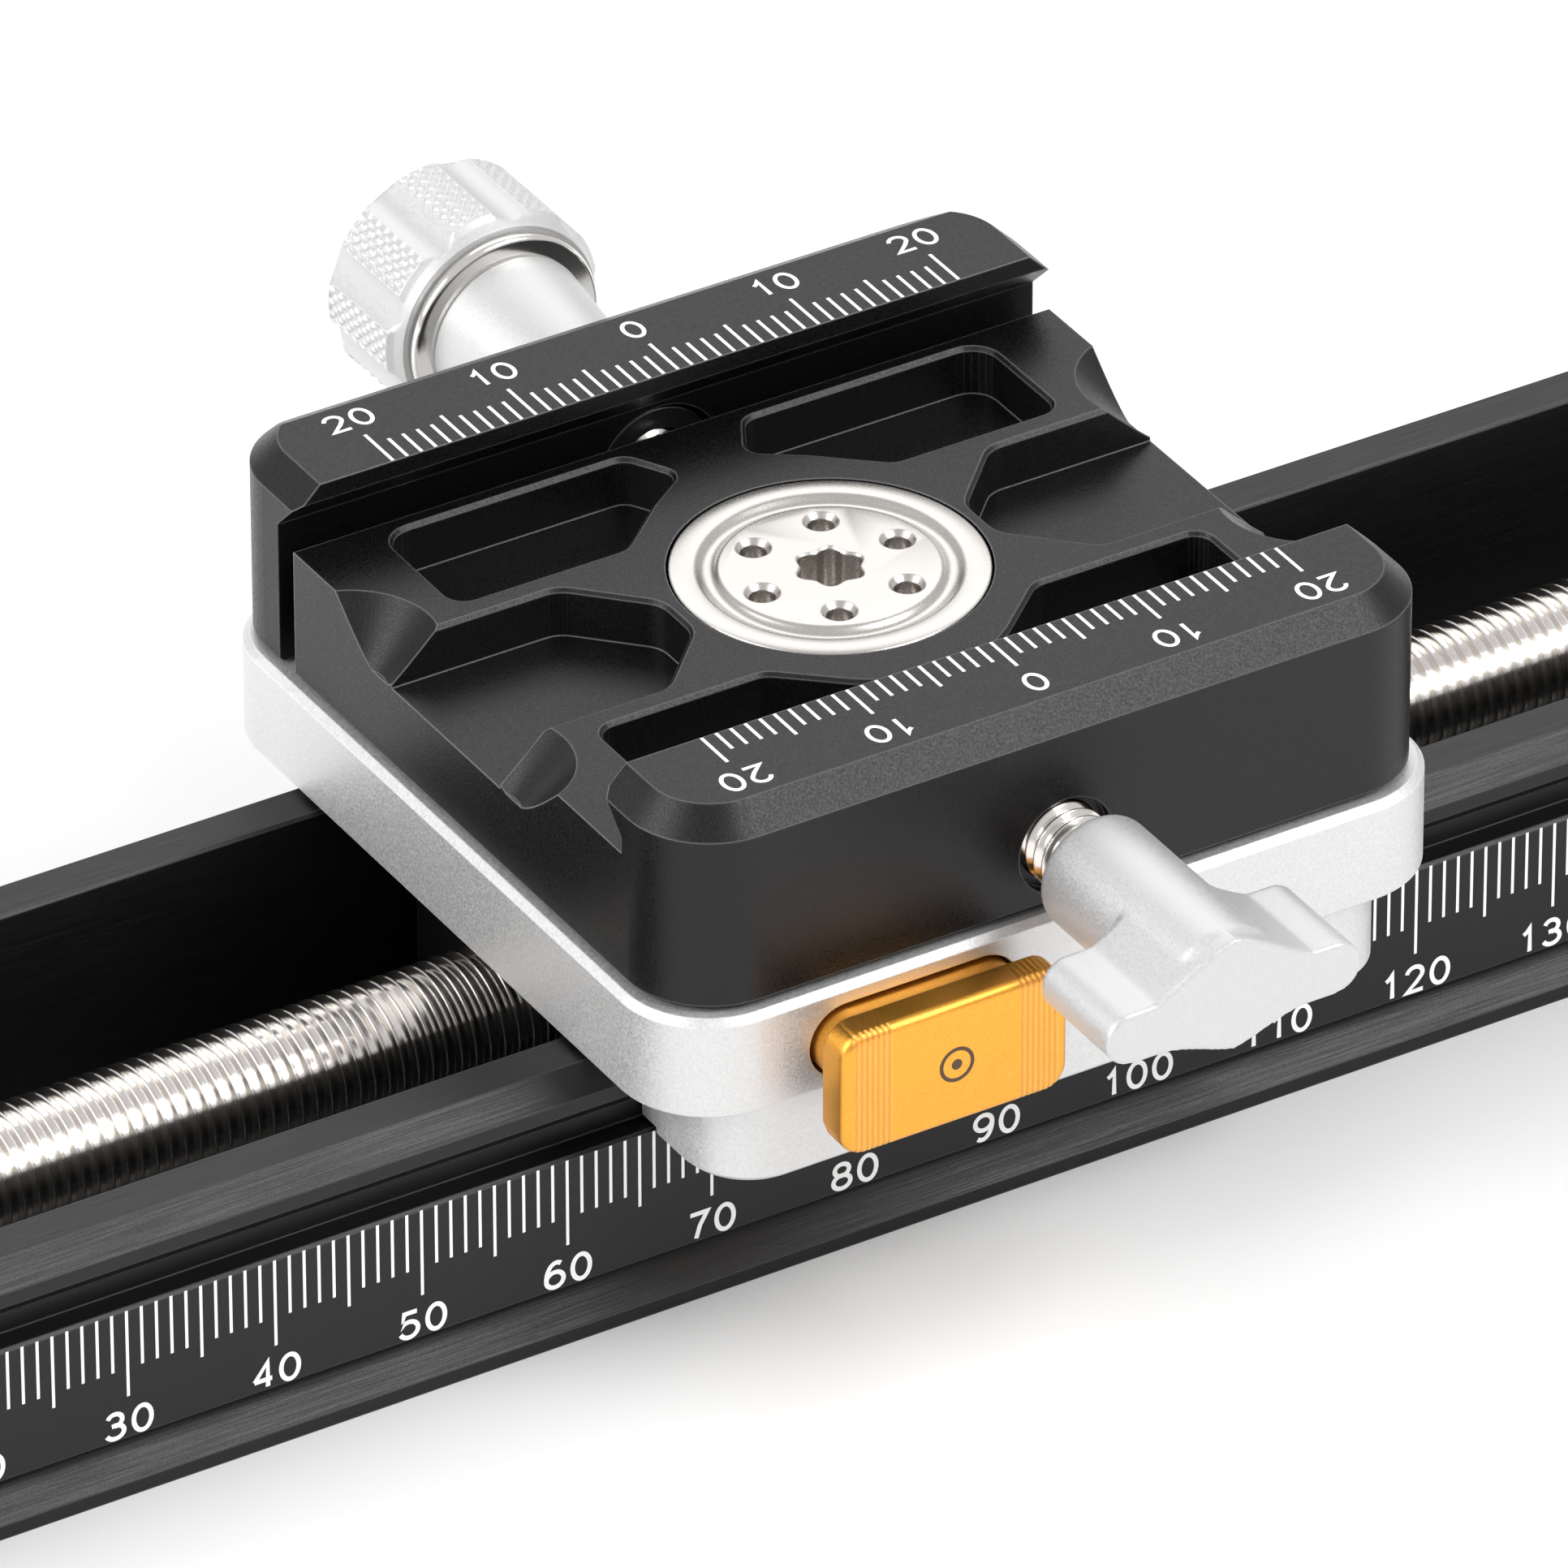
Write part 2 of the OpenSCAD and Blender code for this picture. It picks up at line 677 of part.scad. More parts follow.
module end_plate_left() {
    color(black_anodised)
        difference() {
            mirror([1, 0, 0]) end_plate();
            translate([-end_out_x - over, 0, screw_z])
                along_x() cylinder(d = cap_d + 2 * seat_fit, h = cap_t + over);
        }
}

module end_screws() {
    color(dark_steel)
        for (sx = [-1, 1], spot = end_screw_spots)
            translate([sx * (end_out_x - 0.2), spot[0], spot[1]])
                rotate([0, -90 * sx, 0])
                    difference() {
                        union() {
                            cylinder(d = end_screw_head_d, h = end_screw_head_t);
                            cylinder(d = end_screw_d, h = end_t + end_screw_reach);
                        }
                        translate([0, 0, -over]) cylinder(d = 2.3, h = over + 1.4, $fn = 6);
                    }
}

// A flanged bearing bush for the right end
module bush() {
    difference() {
        union() {
            translate([bush_face_x, 0, screw_z]) along_x() cylinder(d = bush_flange_d, h = bush_flange_t);
            translate([bush_face_x, 0, screw_z])
                along_x() cylinder(d = bush_d, h = bush_flange_t + end_t - cap_t - 0.3);
        }
        translate([bush_face_x - over, 0, screw_z])
            along_x() cylinder(d = journal_d + 2 * run_fit, h = end_t + bush_flange_t + 2 * over);
    }
}

module bush_right() {
    color(brass_colour) bush();
}

module bush_left() {
    color(brass_colour) mirror([1, 0, 0]) bush();
}

module bumpers() {
    color(rubber_black)
        for (sx = [-1, 1], sy = [-1, 1])
            translate([sx * rail_end_x, sy * bumper_y, screw_z])
                rotate([0, -90 * sx, 0]) {
                    translate([0, 0, seat_fit]) cylinder(d = bumper_d, h = bumper_t - seat_fit);
                    translate([0, 0, -2.8]) cylinder(d = bumper_d * 0.6 - 2 * seat_fit, h = 3);
                }
}

module screw_cap() {
    color(black_anodised)
        translate([-end_out_x, 0, screw_z])
            along_x() cylinder(d = cap_d, h = cap_t - seat_fit);
}

module lead_screw() {
    color(steel) {
        translate([-thread_end_x, 0, screw_z]) along_x() cylinder(d = screw_d, h = 2 * thread_end_x);
        translate([-end_out_x + cap_t + 0.4, 0, screw_z])
            along_x() cylinder(d = journal_d, h = end_out_x - cap_t - 0.4 + journal_end_x);
    }
}

module thrust_washers() {
    color(brass_colour)
        for (sx = [-1, 1])
            translate([sx * (washer_face_x + washer_t / 2), 0, screw_z])
                along_x()
                    difference() {
                        cylinder(d = washer_d, h = washer_t, center = true);
                        cylinder(d = journal_d + 2 * run_fit, h = washer_t + 2 * over, center = true);
                    }
}

// Opening through which a clip is pushed onto its groove
module clip_mouth(groove_d) {
    translate([-groove_d / 2, 0, -over]) cube([groove_d, groove_d + over, clip_t + 2 * over]);
}

module retaining_clip() {
    color(dark_steel)
        translate([clip_x, 0, screw_z])
            along_x()
                difference() {
                    cylinder(d = journal_d + 3.4, h = clip_t);
                    translate([0, 0, -over]) cylinder(d = journal_d + 2 * seat_fit, h = clip_t + 2 * over);
                    clip_mouth(journal_d);
                }
}

// Height on the drive knob's neck where the set screw bears on the journal
set_screw_x = drive_x + 1.8;

module drive_knob() {
    color(silver_anodised)
        difference() {
            translate([drive_x, 0, screw_z])
                along_x() {
                    cylinder(d = drive_neck_d, h = drive_neck_len + over);
                    translate([0, 0, drive_neck_len])
                        fluted_body(drive_d, drive_len, drive_neck_d, 1.6);
                }
            translate([drive_x - over, 0, screw_z])
                along_x()
                    cylinder(d = journal_d + 2 * seat_fit, h = journal_end_x - drive_x + over + seat_fit);
            translate([set_screw_x, 0, screw_z]) cylinder(d = set_screw_d + 2 * seat_fit, h = drive_d);
        }
}

module knob_set_screw() {
    color(dark_steel)
        translate([set_screw_x, 0, screw_z + journal_d / 2 + 2 * seat_fit])
            difference() {
                cylinder(d = set_screw_d, h = (drive_neck_d - journal_d) / 2 - 0.3);
                translate([0, 0, 1]) cylinder(d = 1.7, h = drive_neck_d, $fn = 6);
            }
}

// Near skirt in section: its inner side follows the rail's groove and lip
function skirt_section() = [
    [-skirt_y, skirt_low_z],
    [-skirt_in_y, skirt_low_z],
    [-skirt_in_y, hook_low_z],
    [-hook_y, hook_low_z],
    [-hook_y, groove_top_z],
    [-lip_y - skirt_gap, lip_low_z],
    [-lip_y - skirt_gap, lip_top_z + skirt_gap],
    [-lip_y - skirt_gap + plate_low_z - lip_top_z - skirt_gap, plate_low_z],
    [-lip_y - skirt_gap + plate_low_z - lip_top_z - skirt_gap, plate_low_z + over],
    [-skirt_y, plate_low_z + over]
];

// Far skirt in section: square inside, to hold the gib strip
function gib_skirt_section() = [
    [skirt_y, skirt_low_z],
    [skirt_in_y, skirt_low_z],
    [skirt_in_y, hook_low_z],
    [gib_out_y + slide_fit, hook_low_z],
    [gib_out_y + slide_fit, plate_low_z + over],
    [skirt_y, plate_low_z + over]
];

module carriage_plate() {
    color(silver_anodised)
        difference() {
            union() {
                translate([0, 0, plate_low_z])
                    slab(plate_w / 2, plate_w / 2, plate_t, plate_corner_r, plate_chamfer, plate_low_chamfer);
                intersection() {
                    profile_x(skirt_len)
                        union() {
                            polygon(skirt_section());
                            polygon(gib_skirt_section());
                        }
                    translate([0, 0, skirt_low_z])
                        slab(
                            skirt_len / 2, skirt_y, plate_low_z + over - skirt_low_z,
                            skirt_corner_r, 0, skirt_chamfer
                        );
                }
            }
            // Seat of the pivot's threaded end and of the washer under the clamp
            translate([0, 0, plate_top_z - spigot_len - over])
                cylinder(d = spigot_d, h = spigot_len + 2 * over);
            translate([0, 0, pivot_washer_low_z - seat_fit])
                cylinder(d = pivot_washer_d + 0.4, h = pivot_washer_t + over);
            // Passage of the button's neck, the fork and the half nut's head
            translate([nut_x, 0, neck_z])
                profile_y(button_back_y, neck_hole_end_y)
                    stadium(button_neck_w + 2 * neck_gap, button_neck_h + 2 * neck_gap);
            bar(
                [nut_x - pocket_half_x, neck_hole_end_y - over, fork_low_z - slide_fit],
                [nut_x + pocket_half_x, -pocket_half_y + over, fork_top_z + slide_fit]
            );
            bar(
                [nut_x - pocket_half_x, -pocket_half_y, plate_low_z - over],
                [nut_x + pocket_half_x, pocket_half_y, pocket_roof_z]
            );
            // Seats of the glide strips
            for (sy = [-1, 1])
                bar(
                    [-glide_seat_x, sy * glide_y - glide_seat_half_w, plate_low_z - over],
                    [glide_seat_x, sy * glide_y + glide_seat_half_w, glide_top_z + seat_fit]
                );
            // Threads of the gib screws
            for (x = gib_screw_xs)
                translate([x, gib_out_y, gib_screw_z])
                    along_y() cylinder(d = gib_screw_d, h = skirt_y);
            // Counterbores of the housing screws
            for (sx = [-1, 1], sy = [-1, 1])
                translate([sx * housing_screw_x, sy * housing_screw_y, 0]) {
                    translate([0, 0, plate_low_z - over])
                        cylinder(d = housing_screw_d + 0.2, h = plate_t + 2 * over);
                    translate([0, 0, plate_top_z - housing_head_t - 0.2])
                        cylinder(d = housing_screw_head_d + 0.2, h = housing_head_t + over);
                }
        }
}

// A slot shape with round ends
module stadium(w, h) {
    square([w - h, h], center = true);
    for (sx = [-1, 1])
        translate([sx * (w - h) / 2, 0]) circle(d = h);
}

module glide_strips() {
    color(polymer_white)
        for (sy = [-1, 1])
            bar(
                [-glide_len / 2, sy * glide_y - glide_w / 2, glide_low_z],
                [glide_len / 2, sy * glide_y + glide_w / 2, glide_top_z]
            );
}

module gib_strip() {
    color(brass_colour)
        profile_x(gib_len)
            polygon([
                [hook_y, gib_low_z],
                [gib_out_y, gib_low_z],
                [gib_out_y, gib_top_z],
                [lip_y + skirt_gap, gib_top_z],
                [lip_y + skirt_gap, lip_low_z],
                [hook_y, lip_low_z - (lip_y + skirt_gap - hook_y)]
            ]);
}

module gib_screws() {
    color(dark_steel)
        for (x = gib_screw_xs)
            translate([x, gib_out_y + seat_fit, gib_screw_z])
                along_y()
                    difference() {
                        cylinder(d = gib_screw_d, h = skirt_y - gib_out_y - 0.4);
                        translate([0, 0, 1.2]) cylinder(d = gib_screw_d / 2, h = skirt_y, $fn = 6);
                    }
}

module nut_housing() {
    color(black_anodised)
        difference() {
            bar(
                [-housing_len / 2, -housing_w / 2, housing_low_z],
                [housing_len / 2, housing_w / 2, plate_low_z - seat_fit]
            );
            translate([-housing_len / 2 - over, 0, screw_z])
                along_x() cylinder(d = screw_d + 2 * tunnel_gap, h = housing_len + 2 * over);
            bar(
                [nut_x - nut_len / 2 - slide_fit, -nut_w / 2 - slide_fit, screw_z],
                [nut_x + nut_len / 2 + slide_fit, nut_w / 2 + slide_fit, plate_low_z + over]
            );
            for (sx = [-1, 1], sy = [-1, 1])
                translate([sx * housing_screw_x, sy * housing_screw_y, housing_screw_low_z - 1])
                    cylinder(d = housing_screw_d, h = plate_low_z);
        }
}

module housing_screws() {
    color(dark_steel)
        for (sx = [-1, 1], sy = [-1, 1])
            translate([sx * housing_screw_x, sy * housing_screw_y, 0])
                difference() {
                    union() {
                        translate([0, 0, housing_screw_low_z])
                            cylinder(d = housing_screw_d, h = plate_top_z - 0.2 - housing_screw_low_z);
                        translate([0, 0, plate_top_z - 0.2 - housing_head_t])
                            cylinder(d = housing_screw_head_d, h = housing_head_t);
                    }
                    translate([0, 0, plate_top_z - 1.8]) cylinder(d = 2.9, h = 1.8 + over, $fn = 6);
                }
}

// Six lobed drive socket, cut downward from z = 0
module lobed_socket(d, depth) {
    lobe_d = d * 0.3;
    translate([0, 0, -depth]) {
        cylinder(d = d * 0.76, h = depth + over);
        for (i = [0:5])
            rotate(i * 60)
                translate([(d - lobe_d) / 2, 0, 0]) cylinder(d = lobe_d, h = depth + over, $fn = 24);
    }
}

module hub_axle() {
    color(steel)
        difference() {
            union() {
                translate([0, 0, disc_low_z + seat_fit])
                    cylinder(r = disc_r, h = disc_t - seat_fit - disc_step_h);
                translate([0, 0, clamp_floor_z - disc_step_h - 0.4])
                    cylinder(d = disc_step_d, h = disc_step_h + 0.4);
                // Rim around the shallow ring between the edge and the step
                translate([0, 0, clamp_floor_z - disc_step_h - 0.4])
                    difference() {
                        cylinder(r = disc_r, h = disc_step_h + 0.4);
                        translate([0, 0, -over]) cylinder(r = disc_r - 1.9, h = disc_step_h + 2 * over);
                    }
                translate([0, 0, plate_top_z]) cylinder(d = shank_d, h = disc_low_z + 1 - plate_top_z);
                translate([0, 0, plate_top_z - spigot_len])
                    cylinder(d = spigot_d - 2 * seat_fit, h = spigot_len + 1);
            }
            translate([0, 0, clamp_floor_z]) lobed_socket(socket_lobe_d, socket_depth);
            for (i = [0:5])
                rotate(5 + i * 60)
                    translate([pin_circle_d / 2, 0, clamp_floor_z - pin_hole_depth])
                        cylinder(d = pin_hole_d, h = pin_hole_depth + over);
        }
}

module hub_washer() {
    color(polymer_white)
        translate([0, 0, pivot_washer_low_z])
            difference() {
                cylinder(d = pivot_washer_d, h = pivot_washer_t);
                translate([0, 0, -over]) cylinder(d = shank_d + 2 * run_fit, h = pivot_washer_t + 2 * over);
            }
}

module release_button() {
    color(orange_anodised) {
        translate([nut_x, button_back_y, button_z])
            rotate([90, 0, 0])
                slab(button_w / 2, button_h / 2, button_t, button_corner_r, 0.4, 0.3);
        translate([nut_x, 0, neck_z])
            profile_y(button_back_y - 0.5, neck_end_y) stadium(button_neck_w, button_neck_h);
        difference() {
            translate([nut_x, 0, 0])
                profile_x(2 * fork_half_x)
                    polygon([
                        [neck_end_y - 1, fork_low_z],
                        [prong_tip_y, fork_low_z],
                        [prong_tip_y, prong_tip_z],
                        [ramp_top_y, fork_top_z],
                        [neck_end_y - 1, fork_top_z]
                    ]);
            bar(
                [nut_x - fork_gap_x, -fork_root_y, fork_low_z - over],
                [nut_x + fork_gap_x, pocket_half_y, fork_top_z + over]
            );
        }
    }
}

module half_nut() {
    color(brass_colour)
        difference() {
            union() {
                bar(
                    [nut_x - nut_len / 2, -nut_w / 2, nut_low_z],
                    [nut_x + nut_len / 2, nut_w / 2, nut_body_top_z]
                );
                bar(
                    [nut_x - nut_stem_w / 2, -nut_head_y, nut_body_top_z - over],
                    [nut_x + nut_stem_w / 2, nut_head_y, nut_head_low_z + nut_head_t / 2]
                );
                bar(
                    [nut_x - nut_head_w / 2, -nut_head_y, nut_head_low_z],
                    [nut_x + nut_head_w / 2, nut_head_y, nut_head_top_z]
                );
            }
            translate([nut_x - nut_len, 0, screw_z])
                along_x() cylinder(d = screw_d + 2 * run_fit, h = 2 * nut_len);
            for (sy = [-1, 1])
                translate([nut_x, sy * nut_spring_y, nut_spring_low_z])
                    cylinder(d = nut_spring_d + 0.4, h = plate_low_z);
        }
}

module nut_springs() {
    color(steel)
        for (sy = [-1, 1])
            translate([nut_x, sy * nut_spring_y, nut_spring_low_z + seat_fit])
                difference() {
                    cylinder(d = nut_spring_d, h = pocket_roof_z - nut_spring_low_z - 2 * seat_fit);
                    translate([0, 0, -over])
                        cylinder(d = nut_spring_d - 2 * spring_wire, h = pocket_roof_z);
                }
}

// Long pocket on the +X +Y side, corner by corner from its outer near corner
function long_pocket() = [
    [pocket_end_x, pocket_inner_y],
    [pocket_end_x, pocket_outer_y],
    [pocket_tip_x + 1.6, pocket_outer_y],
    [pocket_tip_x - 0.25, pocket_outer_y - 3.3],
    [pocket_tip_x + 2.9, pocket_inner_y + 3.4],
    [pocket_tip_x + 6.8, pocket_inner_y]
];
long_pocket_radii = [1.2, 1.8, 1.2, 1, 1.2, 1.6];

// Side pocket on the +X side, open through the clamp's end face
function side_pocket() = [
    [clamp_w / 2 + 2, -side_pocket_y],
    [clamp_w / 2 + 2, side_pocket_y],
    [side_pocket_x + 4.5, side_pocket_y],
    [side_pocket_x, side_pocket_y - 4.6],
    [side_pocket_x, 4.6 - side_pocket_y],
    [side_pocket_x + 4.5, -side_pocket_y]
];
side_pocket_radii = [0.5, 0.5, 2, 2, 2, 2];

// Cutter with an upright wall below and a 45 degree chamfer at the floor level
module chamfered_pocket(outline) {
    linear_extrude(pocket_depth + over) polygon(outline);
    translate([0, 0, pocket_depth - pocket_chamfer])
        rim_cutter(outline, pocket_chamfer);
}

// Ring of points moved outward by g along each corner's bisector
function grown(outline, g) =
    let (n = len(outline))
    [
        for (i = [0:n - 1])
            let (
                before = outline[(i + n - 1) % n],
                here = outline[i],
                after = outline[(i + 1) % n],
                along = unit(unit(here - before) + unit(after - here))
            )
            here + g * [along[1], -along[0]] * turn_side(outline)
    ];
function turn_side(outline) =
    let (
        n = len(outline),
        twice = [for (i = [0:n - 1]) cross(outline[i], outline[(i + 1) % n])]
    )
    sum(twice) > 0 ? 1 : -1;
function sum(v, i = 0) = i < len(v) ? v[i] + sum(v, i + 1) : 0;

// Solid between an outline and the same outline grown by c, c higher
module rim_cutter(outline, c) {
    n = len(outline);
    ring = turn_side(outline) > 0 ? outline : [for (i = [n - 1:-1:0]) outline[i]];
    wide = grown(ring, c);
    higher = grown(ring, c + 0.2);
    points = concat(
        [for (p = ring) [p[0], p[1], 0]],
        [for (p = wide) [p[0], p[1], c]],
        [for (p = higher) [p[0], p[1], c + 0.2]]
    );
    sides = [
        for (layer = [0, 1], i = [0:n - 1])
            let (low = layer * n, high = low + n, next = (i + 1) % n)
            [high + i, high + next, low + next, low + i]
    ];
    bottom = [for (i = [0:n - 1]) i];
    top = [for (i = [n - 1:-1:0]) 2 * n + i];
    polyhedron(points, concat([bottom], sides, [top]));
}

// Section of the space between the jaws, from the fixed lip to the far side
function channel_section() = [
    [-near_lip_y, jaw_top_z + over],
    [-near_lip_y, jaw_top_z - lip_edge_h],
    [-near_lip_y - lip_run, jaw_top_z - lip_edge_h - lip_run],
    [-near_lip_y - lip_run, clamp_floor_z],
    [clamp_w, clamp_floor_z],
    [clamp_w, jaw_top_z + over]
];

// Cutter of a scoop, a 45 degree cone that widens upward
module scoop() {
    cylinder(r1 = scoop_r - pocket_depth, r2 = scoop_r + over, h = pocket_depth + over);
}

module clamp_body() {
    color(black_anodised)
        difference() {
            translate([0, 0, clamp_low_z])
                slab(clamp_w / 2, clamp_w / 2, jaw_top_z - clamp_low_z, clamp_corner_r, jaw_chamfer, 0.3);
            bar([-clamp_w, body_far_y, clamp_low_z - over], [clamp_w, clamp_w, jaw_top_z + over]);
            profile_x(clamp_w + 2 * over) polygon(channel_section());
            // Pivot bore and the disc's seat
            translate([0, 0, clamp_low_z - over]) cylinder(d = shank_d + 2 * run_fit, h = clamp_floor_h);
            translate([0, 0, disc_low_z]) cylinder(r = disc_r + disc_gap, h = disc_t + over);
            // Lightening pockets
            translate([0, 0, clamp_floor_z - pocket_depth]) {
                for (flip_x = [0, 1], flip_y = [0, 1])
                    mirror([flip_x, 0, 0])
                        mirror([0, flip_y, 0])
                            chamfered_pocket(rounded(long_pocket(), long_pocket_radii));
                for (flip_x = [0, 1])
                    mirror([flip_x, 0, 0]) {
                        chamfered_pocket(rounded(side_pocket(), side_pocket_radii));
                        for (sy = [-1, 1])
                            translate([clamp_w / 2 + scoop_out, sy * scoop_y, 0])
                                scoop();
                    }
            }
            // Thread of the wing screw, open to the pivot bore
            translate([0, -clamp_w / 2 - over, wing_z])
                along_y() cylinder(d = wing_stud_d + 2 * run_fit, h = clamp_w / 2 + over - shank_r / 2);
            translate([0, -clamp_w / 2 - over, wing_z])
                along_y() cylinder(d = wing_stud_d + 1.2, h = over + 0.8);
            // Thread of the clamp knob's stud
            translate([0, stud_bore_y, knob_z])
                along_y() cylinder(d = knob_stud_d + 2 * run_fit, h = clamp_w);
            // Guide pin bores
            for (sx = [-1, 1])
                translate([sx * guide_pin_x, guide_pin_tip_y - jaw_close - 0.6, guide_pin_z])
                    along_y() cylinder(d = guide_pin_d + 2 * run_fit, h = clamp_w);
        }
}

module brake_pad() {
    color(brass_colour)
        difference() {
            translate([0, pad_end_y, wing_z])
                along_y() cylinder(d = wing_stud_d - 2 * run_fit, h = pad_len + shank_r / 2);
            translate([0, 0, clamp_low_z]) cylinder(r = shank_r + 2 * run_fit, h = clamp_floor_h);
        }
}

// Half thickness of the wings at distance x from the axis
hub_r = barrel_d / 2;
wing_tip_r = wing_tip_t / 2;
wing_flank = 5.4;
function wing_half(x) =
    wing_tip_r + (hub_r - wing_tip_r) * (0.5 + 0.5 * cos(180 * min(1, max(0, (abs(x) - 0.8) / wing_flank))));

// Front view of the wings: S shaped flanks between the hub and the round tips
wing_steps = 14;
wing_tip_x = wing_span / 2 - wing_tip_r;
function wing_outline(inset) =
    let (
        flank = [
            for (i = [-wing_steps:wing_steps])
                let (x = wing_tip_x * i / wing_steps)
                [x, wing_half(x) - inset]
        ],
        r = wing_tip_r - inset,
        tip = [for (a = [75:-15:-75]) [wing_tip_x + r * cos(a), r * sin(a)]]
    )
    concat(
        flank,
        tip,
        [for (i = [len(flank) - 1:-1:0]) [flank[i][0], -flank[i][1]]],
        [for (i = [len(tip) - 1:-1:0]) [-tip[i][0], tip[i][1]]]
    );

module wing_knob() {
    color(silver_anodised)
        difference() {
            translate([0, 0, wing_z]) {
                translate([0, wing_end_y + wing_edge_r, 0])
                    along_y() cylinder(d = barrel_d, h = barrel_y - wing_end_y - wing_edge_r - 0.4);
                translate([0, barrel_y - 0.4, 0])
                    along_y() cylinder(d1 = barrel_d, d2 = barrel_d - 0.8, h = 0.4);
                profile_y(wing_end_y + wing_edge_r, wing_y - wing_edge_r) polygon(wing_outline(0));
                profile_y(wing_end_y, wing_y) polygon(wing_outline(wing_edge_r));
                profile_y(wing_end_y + wing_edge_r * 0.3, wing_y - wing_edge_r * 0.3)
                    polygon(wing_outline(wing_edge_r * 0.3));
            }
            translate([0, barrel_y - wing_bore_len, wing_z])
                along_y() cylinder(d = wing_stud_d + 2 * seat_fit, h = wing_bore_len + over);
        }
}

module wing_stud() {
    color(steel)
        translate([0, barrel_y - wing_bore_len + seat_fit, wing_z])
            along_y()
                cylinder(d = wing_stud_d, h = pad_end_y - barrel_y + wing_bore_len - 2 * seat_fit);
}

// Section of the space that the moving jaw leaves free on its inner side
function jaw_section() = [
    [far_lip_y, jaw_top_z + over],
    [far_lip_y, jaw_top_z - lip_edge_h],
    [jaw_in_y, jaw_top_z - lip_edge_h - (jaw_in_y - far_lip_y)],
    [jaw_in_y, clamp_low_z - over],
    [-clamp_w, clamp_low_z - over],
    [-clamp_w, jaw_top_z + over]
];

// Section cut away above the slope along the jaw's outer edge
function jaw_slope_section() = [
    [jaw_outer_y - jaw_slope_run, jaw_top_z],
    [jaw_outer_y, jaw_top_z - jaw_chamfer],
    [jaw_outer_y + over, jaw_top_z - jaw_chamfer],
    [jaw_outer_y + over, jaw_top_z + over],
    [jaw_outer_y - jaw_slope_run, jaw_top_z + over]
];

module moving_jaw() {
    color(black_anodised)
        difference() {
            translate([0, jaw_outer_y - clamp_w / 2, clamp_low_z])
                slab(clamp_w / 2, clamp_w / 2, jaw_top_z - clamp_low_z, clamp_corner_r, jaw_chamfer, 0.3);
            profile_x(clamp_w + 2 * over) polygon(jaw_section());
            profile_x(clamp_w + 2 * over) polygon(jaw_slope_section());
            translate([0, jaw_in_y - over, knob_z])
                along_y() {
                    cylinder(d = knob_stud_d + 0.4, h = clamp_w);
                    cylinder(d = knob_stud_d + 3.6, h = over + 1.4);
                }
            for (sx = [-1, 1])
                translate([sx * guide_pin_x, jaw_in_y - over, guide_pin_z])
                    along_y() cylinder(d = guide_pin_d + 2 * seat_fit, h = guide_seat_len + over);
        }
}

module guide_pins() {
    color(steel)
        for (sx = [-1, 1])
            translate([sx * guide_pin_x, guide_pin_tip_y, guide_pin_z])
                along_y() cylinder(d = guide_pin_d, h = guide_pin_end_y - guide_pin_tip_y);
}

module clamp_knob() {
    color(silver_anodised)
        difference() {
            translate([0, 0, knob_z]) {
                translate([0, neck_y, 0])
                    along_y() cylinder(d1 = neck_jaw_d, d2 = neck_ring_d, h = neck_len);
                translate([0, ring_y - 0.1, 0])
                    along_y() cylinder(d = neck_jaw_d, h = ring_t + 0.2);
                translate([0, knob_y, 0])
                    along_y() fluted_body(knob_d, knob_len, ring_d + 0.6, 1);
            }
            translate([0, neck_y - over, knob_z])
                along_y() cylinder(d = knob_stud_d + 2 * seat_fit, h = stud_end_y + seat_fit - neck_y + over);
        }
}

module knob_ring() {
    color(steel)
        translate([0, ring_y + seat_fit, knob_z])
            along_y()
                difference() {
                    union() {
                        translate([0, 0, 0.15]) cylinder(d = ring_d, h = ring_t - 0.3 - 2 * seat_fit);
                        cylinder(d = ring_d - 0.5, h = ring_t - 2 * seat_fit);
                    }
                    translate([0, 0, -over]) cylinder(d = neck_jaw_d + 2 * seat_fit, h = ring_t + 2 * over);
                }
}

module clamp_stud() {
    color(steel)
        translate([0, stud_tip_y, knob_z])
            along_y() cylinder(d = knob_stud_d, h = stud_end_y - stud_tip_y);
}

module stud_clip() {
    color(dark_steel)
        translate([0, clip_groove_y, knob_z])
            along_y()
                difference() {
                    cylinder(d = knob_stud_d + 2.8, h = clip_t);
                    translate([0, 0, -over]) cylinder(d = knob_stud_d + 2 * seat_fit, h = clip_t + 2 * over);
                    clip_mouth(knob_stud_d);
                }
}

rail_extrusion();
end_plate_left();
end_plate_right();
end_screws();
bush_left();
bush_right();
bumpers();
tripod_insert();
screw_cap();
lead_screw();
thrust_washers();
retaining_clip();
drive_knob();
knob_set_screw();
carriage_plate();
glide_strips();
gib_strip();
gib_screws();
nut_housing();
housing_screws();
hub_axle();
hub_washer();
release_button();
half_nut();
nut_springs();
clamp_body();
brake_pad();
wing_knob();
wing_stud();
moving_jaw();
guide_pins();
clamp_knob();
clamp_stud();
knob_ring();
stud_clip();
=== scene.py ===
"""Looks of a macro focusing rail: a black rail with a millimetre scale, a silver carriage on a
lead screw, and a black panning clamp with knurled and winged silver screws."""
import math

import bmesh
import bpy
from mathutils import Matrix, Vector


